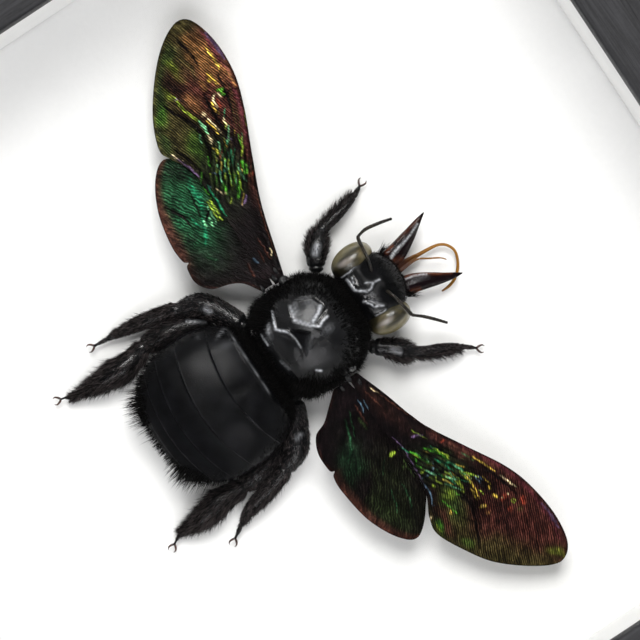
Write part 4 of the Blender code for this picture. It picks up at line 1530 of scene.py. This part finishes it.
# Soft fields of colour: shade, strength, centre, radii, turn
FIELDS = {
    "forewing_left": (
        ("maroon", 1.0, (-30.5, 7.6), (5.2, 3.6), 12), ("copper", 1.0, (-32.8, 8.7), (3.2, 1.3), 10),
        ("copper", 0.5, (-28.4, 5.3), (1.3, 0.6), 12), ("maroon", 0.9, (-24.5, 8.0), (3.0, 0.8), -24),
        ("olive", 1.0, (-27.3, 1.6), (3.4, 2.0), 0), ("olive", 0.9, (-33.6, 5.8), (1.7, 1.9), 30),
        ("green", 0.9, (-34.7, 5.6), (0.9, 1.8), 30), ("lime", 0.25, (-33.1, 5.5), (1.1, 0.45), 0),
        ("olive", 0.8, (-32.6, 7.1), (1.8, 0.3), 0), ("green", 0.85, (-31.7, 2.6), (2.8, 0.8), -36),
        ("bright", 0.22, (-29.2, 1.5), (1.2, 0.6), -35), ("green", 0.9, (-26.4, 0.0), (2.0, 0.7), 0),
        ("bright", 0.1, (-24.6, 3.1), (1.5, 0.9), -15), ("lime", 0.3, (-30.7, 3.6), (0.6, 0.3), 0),
        ("dark", 0.9, (-34.9, 7.7), (1.3, 0.4), 8), ("dark", 0.7, (-30.9, 4.5), (1.3, 0.6), 30),
        ("olive", 1.0, (-37.1, 8.6), (1.7, 2.6), 0), ("green", 0.8, (-20.2, 4.0), (3.0, 1.6), -28),
        ("dark", 0.8, (-17.2, 2.3), (1.5, 0.5), 0), ("dark", 0.8, (-22.5, 6.9), (1.6, 0.4), -20),
    ),
    "forewing_right": (
        ("maroon", 0.9, (30.5, 9.8), (5.6, 4.2), 20), ("olive", 0.85, (31.4, 5.8), (4.2, 1.5), 46),
        ("olive", 0.7, (34.8, 9.2), (1.0, 2.2), -28), ("dark", 0.5, (28.5, 8.9), (2.6, 0.6), -12),
        ("lime", 0.2, (35.3, 11.6), (0.9, 0.3), 35), ("olive", 1.0, (25.4, 4.6), (2.8, 1.1), -14),
        ("green", 0.9, (24.0, 5.1), (2.0, 0.8), -10), ("lime", 0.3, (23.3, 5.1), (0.7, 0.45), 0),
        ("bright", 0.1, (29.4, 3.8), (0.8, 0.4), 20), ("bright", 0.16, (26.0, 2.1), (0.9, 0.3), -5),
        ("brown", 0.7, (25.6, 3.2), (1.8, 0.4), -8), ("dark", 0.8, (24.5, 9.0), (2.2, 0.7), 12),
        ("green", 0.55, (20.2, 6.0), (2.4, 1.4), 32), ("brown", 0.8, (19.6, 8.5), (1.4, 0.4), 25),
        ("dark", 0.7, (25.0, 7.2), (2.0, 0.5), 0), ("brown", 0.2, (11.5, 4.4), (3.0, 0.8), 15),
    ),
    "hindwing_left": (
        ("sea", 1.0, (-19.4, -1.6), (4.4, 2.5), -6), ("teal", 0.12, (-18.5, -1.9), (3.2, 1.4), 0),
        ("dark", 0.6, (-22.8, -0.5), (1.4, 0.8), 30), ("teal", 0.4, (-19.3, 0.0), (1.7, 0.25), -6),
        ("dark", 0.45, (-20.8, -2.3), (1.8, 0.45), -24), ("maroon", 0.6, (-19.0, -4.5), (4.4, 0.7), -8),
        ("dark", 0.5, (-16.0, -2.9), (1.4, 0.4), -30),
    ),
    "hindwing_right": (
        ("green", 0.16, (20.0, -0.2), (4.2, 2.2), -8), ("sea", 0.25, (14.5, -2.0), (2.2, 1.2), -30),
        ("green", 0.2, (21.0, -2.0), (2.4, 0.9), 20), ("dark", 0.8, (17.5, -2.4), (0.7, 1.4), 30),
    ),
}
# Veins, folds and glints: shade, half width, lift, then the points of the line. The glints are painted
# highlights and the dark strokes along folds painted shade.
STROKES = {
    "forewing_left": (
        ("dark", 0.27, -0.2, (-29.9, 2.4), (-28.5, 3.0), (-26.5, 3.95), (-25.0, 4.15), (-23.0, 3.9),
         (-21.3, 2.9)),
        ("dark", 0.18, -0.12, (-35.2, 7.6), (-33.0, 8.1), (-31.5, 8.0)),
        ("dark", 0.25, -0.15, (-28.5, 6.8), (-26.0, 6.55), (-23.0, 6.5)),
        ("dark", 0.22, -0.12, (-29.5, 9.3), (-27.5, 9.0), (-25.0, 8.3)),
        ("dark", 0.12, -0.1, (-27.2, 10.1), (-27.4, 9.3), (-26.8, 8.0)),
        ("dark", 0.16, -0.12, (-25.6, 5.2), (-23.6, 5.3), (-22.8, 4.9)),
        ("lime", 0.12, 0.1, (-30.2, 3.9), (-28.5, 4.0), (-27.3, 4.35), (-26.4, 4.7)),
        ("mint", 0.13, 0.12, (-26.4, 4.7), (-25.4, 4.85), (-24.6, 4.75)),
        ("cream", 0.12, 0.1, (-24.6, 4.75), (-23.5, 4.6)),
        ("cream", 0.07, 0.1, (-26.2, 5.75), (-25.0, 5.95), (-23.9, 6.15)),
        ("gold", 0.09, 0.1, (-25.9, 5.5), (-25.0, 5.7), (-24.0, 5.75)),
        ("cream", 0.2, 0.12, (-26.75, 5.6)),
        ("gold", 0.14, 0.1, (-30.5, 8.45), (-29.6, 8.6), (-28.6, 8.7)), ("gold", 0.2, 0.1, (-29.6, 8.25)),
        ("bright", 0.16, 0.15, (-28.2, 8.3), (-28.0, 8.8), (-27.6, 8.5), (-27.3, 8.8)),
        ("cream", 0.1, 0.12, (-27.9, 8.15), (-27.3, 8.25)),
        ("cream", 0.1, 0.12, (-27.95, 7.75), (-27.5, 7.35), (-27.0, 7.3), (-26.5, 7.4)),
        ("gold", 0.1, 0.12, (-27.4, 7.05), (-26.6, 6.95), (-25.8, 7.1)),
        ("cream", 0.09, 0.1, (-25.3, 7.25), (-24.8, 7.1), (-24.2, 7.0)),
        ("rust", 0.14, 0.0, (-27.3, 7.7), (-26.3, 7.6)),
        ("copper", 0.28, 0.05, (-30.0, 7.35), (-28.8, 7.25)), ("lilac", 0.16, 0.0, (-29.8, 3.95)),
        ("gold", 0.12, 0.05, (-32.8, 9.85), (-31.0, 9.9), (-29.8, 9.85)),
        ("lilac", 0.2, 0.05, (-34.3, 10.72), (-32.5, 10.92), (-30.6, 10.9)),
        ("magenta", 0.22, 0.0, (-34.6, 10.4), (-32.5, 10.45), (-29.0, 10.3), (-26.0, 9.7), (-23.0, 8.6),
         (-20.0, 7.4)),
        ("copper", 0.22, 0.03, (-30.4, 10.2), (-28.5, 10.3), (-27.3, 10.2)),
        ("olive", 0.09, 0.08, (-28.0, 9.75), (-25.5, 8.95), (-23.0, 8.05)),
        ("olive", 0.07, 0.08, (-27.0, 9.1), (-25.0, 8.45), (-23.2, 7.7)),
        ("teal", 0.09, 0.12, (-22.8, 6.15), (-20.6, 4.95), (-19.2, 4.2)),
        ("bright", 0.07, 0.1, (-22.6, 5.6), (-21.2, 4.85), (-20.2, 4.2)),
        ("mint", 0.05, 0.08, (-21.4, 5.15), (-20.2, 4.5)),
        ("teal", 0.08, 0.1, (-21.9, 5.95), (-20.4, 5.2)), ("mint", 0.12, 0.1, (-22.85, 6.15)),
        ("lilac", 0.1, 0.05, (-23.3, 6.4), (-22.6, 6.6)),
        ("bright", 0.26, 0.15, (-20.0, 6.2), (-19.3, 6.25), (-18.7, 5.9)),
        ("mint", 0.12, 0.1, (-20.0, 5.7), (-18.9, 5.5), (-17.9, 5.45)),
        ("bright", 0.08, 0.12, (-19.6, 4.6), (-18.9, 4.85), (-18.1, 4.65), (-17.4, 4.2), (-16.8, 3.7)),
        ("bright", 0.06, 0.1, (-19.2, 4.5), (-18.3, 4.4), (-17.5, 4.0), (-16.9, 3.7)),
        ("lime", 0.07, 0.1, (-19.6, 4.5), (-18.9, 4.05), (-17.9, 3.6)),
        ("sky", 0.1, 0.12, (-20.1, 4.2), (-20.3, 3.6), (-20.4, 3.2), (-20.8, 2.8)),
        ("gold", 0.12, 0.1, (-23.0, 4.45), (-22.4, 4.6), (-22.2, 4.5)), ("cream", 0.1, 0.1, (-21.8, 4.2)),
        ("cream", 0.09, 0.1, (-22.4, 5.15)), ("rust", 0.16, 0.05, (-22.2, 5.0), (-21.6, 4.5)),
        ("lime", 0.12, 0.1, (-20.75, 3.6), (-20.5, 3.2)),
        ("bright", 0.07, 0.1, (-22.6, 3.4), (-21.2, 2.8)), ("lime", 0.1, 0.1, (-20.8, 2.6)),
        ("bright", 0.18, 0.1, (-19.3, 3.2), (-18.6, 3.1), (-17.8, 2.95)),
        ("cream", 0.16, 0.1, (-18.1, 2.85)),
        ("cream", 0.06, 0.1, (-19.2, 2.2), (-18.6, 2.35), (-18.0, 2.5)),
        ("lilac", 0.09, 0.1, (-16.6, 4.6), (-16.15, 4.1), (-16.0, 3.5)),
        ("rust", 0.2, 0.05, (-18.4, 6.7), (-18.2, 6.1)), ("cream", 0.08, 0.05, (-18.45, 6.85)),
        ("sky", 0.14, 0.15, (-10.3, 1.4), (-9.9, 1.5), (-9.7, 1.6)),
        ("brown", 0.08, 0.08, (-12.0, 3.05), (-10.2, 3.0), (-9.2, 3.0)),
        ("brown", 0.09, 0.08, (-10.8, 2.4), (-9.3, 2.2)),
        ("cream", 0.06, 0.08, (-10.3, 3.6), (-9.4, 3.25)),
        ("brown", 0.08, 0.1, (-20.0, 7.0), (-14.0, 4.9), (-9.0, 3.6)),
        ("lilac", 0.1, 0.12, (-24.9, 0.1), (-24.0, 0.5), (-22.9, 0.95), (-21.9, 1.2), (-21.1, 1.4)),
        ("cream", 0.09, 0.1, (-24.9, 0.2), (-24.2, 0.4)), ("cream", 0.08, 0.1, (-23.7, 0.75)),
        ("dark", 0.16, -0.1, (-25.2, 0.7), (-23.5, 1.4), (-21.5, 1.8), (-19.5, 1.8)),
        ("teal", 0.1, 0.1, (-19.9, 1.6), (-17.8, 1.55), (-15.9, 1.5)), ("sky", 0.12, 0.1, (-19.6, 1.75)),
    ),
    "forewing_right": (
        ("dark", 0.2, -0.2, (20.6, 5.2), (22.0, 5.8), (24.5, 6.45), (26.5, 6.3), (28.0, 5.7), (30.2, 4.7)),
        ("dark", 0.12, -0.12, (25.0, 6.85), (27.0, 6.5), (28.5, 6.0)),
        ("lilac", 0.16, 0.05, (29.8, 13.1), (31.5, 13.25), (33.2, 13.25)),
        ("magenta", 0.22, 0.0, (19.0, 9.0), (23.0, 11.2), (27.0, 12.6), (31.0, 13.0), (34.5, 12.7)),
        ("dark", 0.18, -0.1, (23.0, 10.0), (25.5, 10.9), (27.4, 11.4)),
        ("cream", 0.08, 0.12, (24.6, 11.0), (25.8, 11.4), (26.75, 11.75)),
        ("gold", 0.09, 0.1, (21.3, 9.6), (22.4, 10.1), (23.3, 10.5), (24.0, 10.75)),
        ("green", 0.1, 0.1, (20.3, 8.9), (21.8, 9.5)), ("rust", 0.14, 0.1, (17.9, 8.0), (18.0, 7.5)),
        ("rust", 0.3, 0.1, (28.1, 11.7), (28.7, 11.5)), ("rust", 0.3, 0.1, (26.9, 10.3), (27.0, 9.7)),
        ("cream", 0.1, 0.1, (26.85, 10.55)), ("cream", 0.1, 0.1, (26.85, 9.8)),
        ("lime", 0.07, 0.1, (27.6, 10.8), (27.9, 10.85), (28.0, 10.6), (27.7, 10.5), (27.6, 10.8)),
        ("rust", 0.24, 0.05, (28.4, 9.9)), ("olive", 0.35, 0.0, (29.0, 10.8)),
        ("lilac", 0.08, 0.1, (29.9, 13.1)), ("bright", 0.12, 0.12, (17.5, 5.65), (18.6, 6.5), (20.0, 7.1)),
        ("teal", 0.13, 0.12, (20.2, 6.9), (21.1, 7.5), (22.0, 7.9)),
        ("mint", 0.07, 0.1, (20.8, 7.3), (22.1, 7.85)), ("teal", 0.12, 0.1, (19.2, 5.9), (20.4, 6.8)),
        ("sky", 0.06, 0.1, (23.2, 8.6), (24.2, 8.75)), ("sky", 0.06, 0.1, (23.3, 8.9), (24.1, 9.1)),
        ("gold", 0.07, 0.1, (22.5, 7.75), (23.8, 7.9), (25.6, 7.65)),
        ("gold", 0.06, 0.1, (23.8, 7.55), (25.7, 7.3)), ("gold", 0.17, 0.15, (26.4, 7.3), (26.6, 7.8)),
        ("cream", 0.09, 0.1, (26.45, 7.5)), ("gold", 0.1, 0.1, (24.9, 9.3), (25.3, 9.3)),
        ("gold", 0.14, 0.1, (26.1, 9.2), (26.5, 9.4)), ("copper", 0.25, 0.05, (27.4, 7.6)),
        ("gold", 0.13, 0.12, (21.1, 5.8), (21.5, 6.5), (21.9, 6.9)),
        ("rust", 0.07, 0.1, (21.5, 5.9), (21.9, 6.5)), ("bright", 0.1, 0.1, (21.1, 5.5), (21.8, 5.7)),
        ("lime", 0.18, 0.1, (22.4, 6.9), (23.2, 6.7), (24.0, 6.6)),
        ("bright", 0.12, 0.1, (17.0, 4.1), (18.0, 4.7), (19.5, 5.2)),
        ("bright", 0.08, 0.1, (17.9, 4.2), (18.6, 4.0), (19.2, 4.2)),
        ("sky", 0.08, 0.12, (19.3, 5.6), (19.9, 5.2), (20.2, 4.7), (20.2, 4.1), (20.1, 3.6)),
        ("mint", 0.1, 0.1, (20.3, 5.6), (20.35, 5.0)), ("lime", 0.12, 0.1, (19.6, 4.3), (19.7, 3.8)),
        ("lime", 0.09, 0.1, (21.4, 4.1), (21.8, 4.3)), ("green", 0.2, 0.08, (20.8, 4.6), (21.0, 4.9)),
        ("lime", 0.07, 0.1, (23.0, 5.4), (23.4, 5.2)), ("gold", 0.1, 0.1, (24.9, 4.3), (25.3, 4.1)),
        ("lilac", 0.1, 0.1, (16.2, 6.3), (15.9, 5.7), (15.7, 5.1)),
        ("lilac", 0.05, 0.08, (14.5, 3.4), (16.5, 3.7), (19.5, 3.5), (21.3, 3.4)),
        ("sky", 0.06, 0.1, (20.7, 3.4), (22.0, 3.45), (23.5, 2.9)), ("cream", 0.12, 0.1, (24.3, 2.0)),
        ("lime", 0.08, 0.1, (25.3, 2.1), (26.3, 2.1)), ("lime", 0.15, 0.1, (16.1, 3.0)),
        ("brown", 0.08, 0.1, (8.5, 4.4), (12.0, 5.6), (18.0, 8.2)),
        ("cream", 0.05, 0.08, (8.6, 4.3), (9.6, 4.7)), ("brown", 0.08, 0.08, (8.6, 3.7), (11.0, 4.2)),
        ("dark", 0.1, -0.1, (15.8, 7.0), (16.8, 5.8), (17.0, 4.6)),
        ("sky", 0.05, 0.1, (9.4, 2.95), (10.2, 2.9), (11.0, 2.6)),
    ),
    "hindwing_left": (
        ("teal", 0.2, 0.1, (-20.8, 0.15), (-19.3, -0.05), (-17.7, -0.35)),
        ("teal", 0.16, 0.1, (-17.2, -0.85), (-16.2, -1.2), (-15.2, -1.7), (-14.5, -2.2)),
        ("mint", 0.09, 0.1, (-17.0, -0.85), (-16.0, -1.05)),
        ("teal", 0.12, 0.1, (-17.7, -1.9), (-16.6, -1.6)),
        ("lime", 0.12, 0.1, (-18.4, 0.95), (-17.0, 0.95), (-15.8, 0.85)),
        ("lime", 0.08, 0.08, (-18.4, 0.6), (-16.0, 0.55)),
        ("mint", 0.08, 0.1, (-18.0, 0.25), (-15.8, 0.2)),
        ("bright", 0.1, 0.1, (-20.0, 1.15), (-18.4, 1.25)),
        ("mint", 0.1, 0.1, (-17.0, -0.2), (-16.7, -0.15)),
        ("mint", 0.09, 0.1, (-16.3, -0.35), (-15.8, -0.3)),
        ("sea", 0.1, 0.1, (-13.4, -2.9), (-12.6, -2.2), (-12.3, -1.9)), ("mint", 0.08, 0.1, (-12.5, -2.1)),
        ("dark", 0.25, -0.1, (-20.5, -3.6), (-18.5, -2.6), (-17.0, -2.4)),
        ("dark", 0.2, -0.1, (-17.6, 0.4), (-16.8, -0.6)),
        ("dark", 0.14, -0.1, (-20.6, -0.4), (-18.5, -0.75), (-17.3, -1.0)),
        ("brown", 0.1, 0.08, (-10.2, 0.6), (-8.6, 0.4)),
    ),
    "hindwing_right": (
        ("lime", 0.2, 0.1, (16.1, 2.6), (16.1, 2.1)), ("green", 0.16, 0.08, (17.8, 2.6), (18.2, 2.4)),
        ("green", 0.09, 0.08, (17.4, 2.95), (19.7, 3.0)),
        ("sea", 0.1, 0.1, (10.0, 0.1), (12.0, -0.6), (13.5, -1.4), (14.2, -2.4)),
        ("brown", 0.07, 0.08, (9.2, 1.9), (12.0, 1.8)),
        ("sky", 0.05, 0.08, (9.0, 2.5), (9.8, 2.4), (10.6, 2.2)),
        ("green", 0.16, 0.0, (10.8, 1.4), (12.3, 1.5)), ("sea", 0.06, 0.06, (9.5, 1.0), (12.5, -0.2)),
        ("sea", 0.06, 0.06, (19.4, 0.0), (21.0, -0.4), (22.0, -0.9)),
        ("sea", 0.06, 0.06, (19.5, 1.4), (21.0, 1.3), (22.6, 0.7)),
        ("sea", 0.06, 0.06, (16.2, 1.2), (17.5, 0.2)),
        ("dark", 0.2, -0.1, (16.5, -0.8), (18.0, -2.2), (18.6, -3.4)),
    ),
}


def tapered(x, y, line, width):
    """A ridge along a line, thinning out towards both ends."""
    if len(line) == 1:
        return ridge(x, y, line, width)
    steps = through(np.array(line), np.linspace(0, 1, 6 * len(line)))
    best = np.zeros(np.shape(x))
    for index in range(len(steps)):
        place = index / (len(steps) - 1)
        size = width * (0.35 + 0.65 * math.sin(math.pi * place) ** 0.5)
        gap = distance_to(x, y, steps[max(index - 1, 0):index + 1])
        best = np.maximum(best, np.exp(-((gap / size) ** 2)))
    return best


class Wing:
    """One wing as a grid: share runs from root to tip and across from front to back edge."""

    def __init__(self, name, edges, drop, columns, rows):
        self.name = name
        front, back = edges
        self.loop = np.array(front + back[-2::-1])
        runs = np.linalg.norm(np.diff(self.loop, axis=0), axis=1)
        self.front_part = runs[:len(front) - 1].sum() / runs.sum()
        self.drop = drop
        self.columns, self.rows = columns, rows

    def edges_at(self, share):
        front = through(self.loop, share * self.front_part)
        return front, through(self.loop, 1 - share * (1 - self.front_part))

    def build(self):
        deselect_all()
        bpy.ops.mesh.primitive_grid_add(x_subdivisions=self.columns, y_subdivisions=self.rows, size=2)
        made = named(bpy.context.object, f"{self.name}_film")
        start = read_points(made)
        share = (start[:, 0] + 1) / 2
        share = 0.5 * np.sin(share * math.pi / 2) + 0.5 * share
        across = (start[:, 1] + 1) / 2
        front, back = self.edges_at(share)
        plan = front + (back - front) * across[:, None]
        self.x, self.y = plan.T
        self.from_front = np.linalg.norm(plan - front, axis=1)
        self.from_back = np.linalg.norm(plan - back, axis=1)
        self.height = ROOT_HEIGHT - self.drop - SLOPE * (np.abs(self.x) - ROOT_X)
        self.colour = np.tile(np.array(setting("bee_wings").dark), (len(share), 1))
        return made

    def tint(self, shade_name, amount):
        aim = np.array(getattr(setting("bee_wings"), shade_name))
        self.colour += (aim - self.colour) * np.clip(amount, 0, 1)[:, None]

    def paint(self):
        """Lays the soft fields, then the veins, folds and glints, over the dark film; the glints are
        painted highlights and the dark fold strokes painted shade.
        """
        x, y = self.x, self.y
        drift_x = x + 0.5 * ripple(x, y, 3.0, 29)
        drift_y = y + 0.3 * ripple(x, y, 2.6, 30)
        for shade_name, strength, centre, radii, turn in FIELDS[self.name]:
            form = blob(drift_x, drift_y, centre, radii, turn)
            self.tint(shade_name, strength * np.minimum(1.5 * form, 1))
        wobble_x = x + 0.07 * ripple(x, y, 0.9, 31)
        wobble_y = y + 0.07 * ripple(x, y, 0.8, 32)
        beads = np.clip(0.78 + 0.36 * ripple(x, y, 0.42, 33), 0.35, 1)
        for shade_name, width, lift, *line in STROKES[self.name]:
            form = tapered(wobble_x, wobble_y, line, width * 0.85)
            plain = shade_name in ("dark", "brown", "maroon", "magenta")
            self.tint(shade_name, np.minimum(1.3 * form, 1) * (1.0 if plain else beads))
            self.height += lift * form
        self.sparkle(wobble_x, wobble_y)

    def sparkle(self, x, y):
        """Fine glints, painted highlights, and dark marks, painted shade, scattered over the forewing's
        crumpled middle, along its folds.
        """
        if self.name.startswith("hindwing"):
            return
        random = np.random.default_rng(71)
        sign = -1 if self.name.endswith("left") else 1
        middle = (-20.6, 4.7) if sign < 0 else (21.6, 6.3)
        lay = sign * 0.5
        shades = ("bright", "green", "mint", "lime", "teal", "gold", *["dark"] * 6)
        for _ in range(105):
            aside, along = random.normal(0, 1.25), random.normal(0, 2.5)
            half = random.uniform(0.25, 1.15)
            turn = lay + random.normal(0, 0.22)
            mid_x = middle[0] + along * math.cos(lay) - aside * math.sin(lay)
            mid_y = middle[1] + along * math.sin(lay) + aside * math.cos(lay)
            reach_x, reach_y = half * math.cos(turn), half * math.sin(turn)
            line = ((mid_x - reach_x, mid_y - reach_y), (mid_x + reach_x, mid_y + reach_y))
            shade_name = random.choice(shades)
            dark = shade_name == "dark"
            form = ridge(x, y, line, 0.11 if dark else random.uniform(0.035, 0.06))
            self.tint(shade_name, random.uniform(0.4, 1.0) * form)
            self.height += (-0.06 if dark else 0.05) * form

    def line_run(self):
        """How many corrugation lines lie between each point and the wing's middle."""
        slant = math.radians({"forewing_left": 17, "forewing_right": 23}.get(self.name, 31))
        across = self.y * math.cos(slant) + np.abs(self.x) * math.sin(slant)
        return across * MM / setting("bee_wings").line_pitch

    def dress(self, made, lined, material_made, slot):
        mesh = made.data
        write_points(made, on_board(np.stack([self.x, self.y, self.height], axis=1)))
        film = mesh.attributes.new("film_colour", "FLOAT_COLOR", "POINT")
        rgba = np.concatenate([np.clip(self.colour, 0, 1), np.ones((len(self.colour), 1))], axis=1)
        film.data.foreach_set("color", rgba.astype(np.float32).ravel())
        mark(made, "line_strength", lined)
        corners = np.empty(len(mesh.loops), dtype=np.int32)
        mesh.loops.foreach_get("vertex_index", corners)
        layer = mesh.uv_layers.active or mesh.uv_layers.new()
        layer.name = "lines"
        run = np.stack([self.line_run(), np.hypot(self.x, self.y) / BEAD_PITCH], axis=1)[corners]
        layer.data.foreach_set("uv", run.astype(np.float32).ravel())
        with editing(made):
            bpy.ops.mesh.remove_doubles(threshold=0.002 * MM)
            bpy.ops.mesh.normals_make_consistent(inside=False)
        apply_modifier(made, "SOLIDIFY", thickness=setting("bee_wings").thickness, offset=0.0)
        face_outwards(made)
        finish(made, material_made, (self.name,))


class BEE_OT_forewings(bpy.types.Operator):
    """Models the forewings with their veins, folds and iridescent fields"""

    bl_idname = "bee.forewings"
    bl_label = "Forewings"

    def execute(self, context):
        for side in SIDES:
            wing = Wing(f"forewing_{side}", FOREWING_EDGES[side], 0.0, 300, 104)
            made = wing.build()
            self.front_edge(wing)
            wing.paint()
            self.back_edge(wing)
            tip, out = abs(FOREWING_EDGES[side][0][-1][0]), np.abs(wing.x)
            lined = smooth(20.5, 24.0, out) * smooth(0.5, 0.9, wing.from_front)
            lined *= smooth(tip + 0.2, tip - 2.2, out) * smooth(0.0, 0.5, wing.from_back)
            wing.height += self.waves(wing)
            wing.dress(made, np.clip(lined, 0, 1), wing_material("forewing"), "forewing_film")
        return {"FINISHED"}

    def front_edge(self, wing):
        """The stout black-rimmed leading edge with its maroon stripe."""
        stripe = np.exp(-(((wing.from_front - 0.55) / 0.4) ** 2))
        wing.tint("maroon", 0.95 * stripe * smooth(14.0, 20.0, np.abs(wing.x)))
        wing.height += 0.16 * np.exp(-((wing.from_front / 0.25) ** 2)) + 0.1 * stripe

    def back_edge(self, wing):
        outer = smooth(22.0, 26.0, np.abs(wing.x))
        wing.tint("olive", 0.7 * outer * smooth(0.9, 0.1, wing.from_back))
        rims = 0.8 * smooth(0.28, 0.0, wing.from_front) + 0.5 * outer * smooth(0.22, 0.0, wing.from_back)
        wing.tint("dark", rims)

    def waves(self, wing):
        """Sharp folds in the wing's middle, with painted shade darkening the film in their troughs, and
        gentle waves further out.
        """
        x, y, out = wing.x, wing.y, np.abs(wing.x)
        middle = blob(out, y, (19.6, 4.6), (2.6, 3.4)) * smooth(16.2, 17.4, out)
        folds = np.sin((y * 0.88 + out * -0.47) * math.tau / 0.5 + 1.6 * ripple(x, y, 2.6, 8))
        # Painted shade in the folds' troughs
        wing.colour *= (1 - np.minimum(1.4 * middle, 1) * smooth(0.4, -0.4, folds) * 0.9)[:, None]
        gentle = 0.05 * ripple(x, y, 1.9, 17, stretch=2.0) * smooth(18.0, 24.0, out)
        return 0.06 * middle * folds + gentle + 0.1 * ripple(x, y, 5.0, 4) * smooth(14.0, 22.0, out)


class BEE_OT_hindwings(bpy.types.Operator):
    """Models the hindwings"""

    bl_idname = "bee.hindwings"
    bl_label = "Hindwings"

    def execute(self, context):
        for side in SIDES:
            wing = Wing(f"hindwing_{side}", HINDWING_EDGES[side], 0.5, 240, 96)
            made = wing.build()
            wing.paint()
            self.margin(wing)
            x, y, out = wing.x, wing.y, np.abs(wing.x)
            field = smooth(12.0, 16.0, out) * smooth(0.4, 1.3, wing.from_back)
            wing.height += 0.06 * ripple(x, y, 1.6, 61, stretch=1.8) * smooth(9.0, 12.0, out)
            wing.height += 0.1 * ripple(x, y, 5.0, 64) * smooth(8.0, 14.0, out)
            wing.dress(made, np.clip(field, 0, 1), wing_material("hindwing"), "hindwing_film")
        return {"FINISHED"}

    def margin(self, wing):
        """The thin red-brown outer margin."""
        outer = smooth(13.0, 17.0, np.abs(wing.x)) * smooth(1.3, 0.3, wing.from_back)
        wing.tint("brown", 0.8 * outer + 0.3 * smooth(0.5, 0.0, wing.from_back))
        wing.tint("dark", 0.6 * smooth(0.16, 0.0, wing.from_back))


# ---------------------------------------------------------------- stage


VIEW_UP = (-0.8348, 0.5505, 0.0)  # the camera's up, turned to the frame's corner
CAMERA_SPOT = (-0.65, 3.81)
FLOOR_GAP = 0.0002


class BEE_OT_stage(bpy.types.Operator):
    """Sets the pale floor, the window light, the fill and the camera"""

    bl_idname = "bee.stage"
    bl_label = "Floor, lights and camera"

    def execute(self, context):
        self.floor()
        self.lights()
        self.world()
        self.camera()
        return {"FINISHED"}

    def floor(self):
        deselect_all()
        bpy.ops.mesh.primitive_plane_add(size=3.0, location=(0, 0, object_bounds()[0][2] - FLOOR_GAP))
        made = named(bpy.context.object, "pale_floor")
        surface = bpy.data.materials.new("pale_floor")
        surface.use_nodes = True
        shader = surface.node_tree.nodes["Principled BSDF"]
        shade(surface.node_tree, shader, Base_Color=(0.8, 0.79, 0.77), Roughness=0.9)
        made.data.materials.append(surface)
        made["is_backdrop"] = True

    def lights(self):
        stage = setting("bee_stage")
        target = Vector((0, 0, BOARD_TOP))
        lamps = (
            ("window", (-0.42, 0.28, 0.86), (0.55, 0.55), stage.key_power, (1.0, 0.995, 0.98)),
            ("fill", (0.5, -0.32, 0.8), (0.8, 0.8), stage.fill_power, (0.98, 0.98, 1.0)),
        )
        for name, place, size, power, colour in lamps:
            lamp = bpy.data.lights.new(name, "AREA")
            lamp.shape = "RECTANGLE"
            lamp.size, lamp.size_y = size
            lamp.energy = power
            lamp.color = colour
            made = bpy.data.objects.new(name, lamp)
            aim = (target - Vector(place)).to_track_quat("-Z", "Y").to_matrix().to_4x4()
            made.matrix_world = Matrix.Translation(place) @ aim
            bpy.context.scene.collection.objects.link(made)

    def world(self):
        """Pale near the horizon and dim overhead, so that the glass mirrors nothing bright."""
        sky = bpy.data.worlds.new("soft_room")
        bpy.context.scene.world = sky
        sky.use_nodes = True
        tree = sky.node_tree
        background = tree.nodes["Background"]
        aim = node(tree, "ShaderNodeTexCoord").outputs["Generated"]
        up = node(tree, "ShaderNodeSeparateXYZ", {0: aim}).outputs[2]
        tone = ramp(tree, up, ((0.0, grey(0.7)), (0.4, grey(0.6)), (0.7, grey(0.2)), (0.9, grey(0.03))))
        tree.links.new(tone, background.inputs["Color"])
        background.inputs["Strength"].default_value = 1.0

    def camera(self):
        stage = setting("bee_stage")
        data = bpy.data.cameras.new("camera")
        data.lens = stage.lens
        data.clip_start = 0.01
        made = bpy.data.objects.new("camera", data)
        up = Vector(VIEW_UP).normalized()
        back = Vector((0, 0, 1))
        turn = Matrix((up.cross(back), up, back)).transposed().to_4x4()
        spot = (CAMERA_SPOT[0] * MM, CAMERA_SPOT[1] * MM, BOARD_TOP + stage.camera_height)
        made.matrix_world = Matrix.Translation(spot) @ turn
        bpy.context.scene.collection.objects.link(made)
        bpy.context.scene.camera = made
        bpy.context.scene.view_settings.view_transform = "Standard"


# ---------------------------------------------------------------- add-on


OPERATORS = (
    BEE_OT_case,
    BEE_OT_thorax,
    BEE_OT_abdomen,
    BEE_OT_head,
    BEE_OT_mouthparts,
    BEE_OT_antennae,
    BEE_OT_legs,
    BEE_OT_forewings,
    BEE_OT_hindwings,
    BEE_OT_stage,
)


class BEE_PT_pieces(bpy.types.Panel):
    bl_label = "Framed bee"
    bl_idname = "BEE_PT_pieces"
    bl_space_type = "VIEW_3D"
    bl_region_type = "UI"
    bl_category = "Framed Bee"

    def draw(self, context):
        for group in SETTINGS:
            box = self.layout.box()
            for key in getattr(context.scene, group).bl_rna.properties.keys():
                if key not in ("rna_type", "name"):
                    box.prop(getattr(context.scene, group), key)
        for operator in OPERATORS:
            self.layout.operator(operator.bl_idname)


def register():
    for group, kind in SETTINGS.items():
        bpy.utils.register_class(kind)
        setattr(bpy.types.Scene, group, PointerProperty(type=kind))
    for kind in (*OPERATORS, BEE_PT_pieces):
        bpy.utils.register_class(kind)


def unregister():
    for kind in reversed((*OPERATORS, BEE_PT_pieces)):
        bpy.utils.unregister_class(kind)
    for group, kind in reversed(SETTINGS.items()):
        delattr(bpy.types.Scene, group)
        bpy.utils.unregister_class(kind)


def main():
    register()
    for operator in OPERATORS:
        module, name = operator.bl_idname.split(".")
        getattr(getattr(bpy.ops, module), name)()


if __name__ == "__main__":
    main()
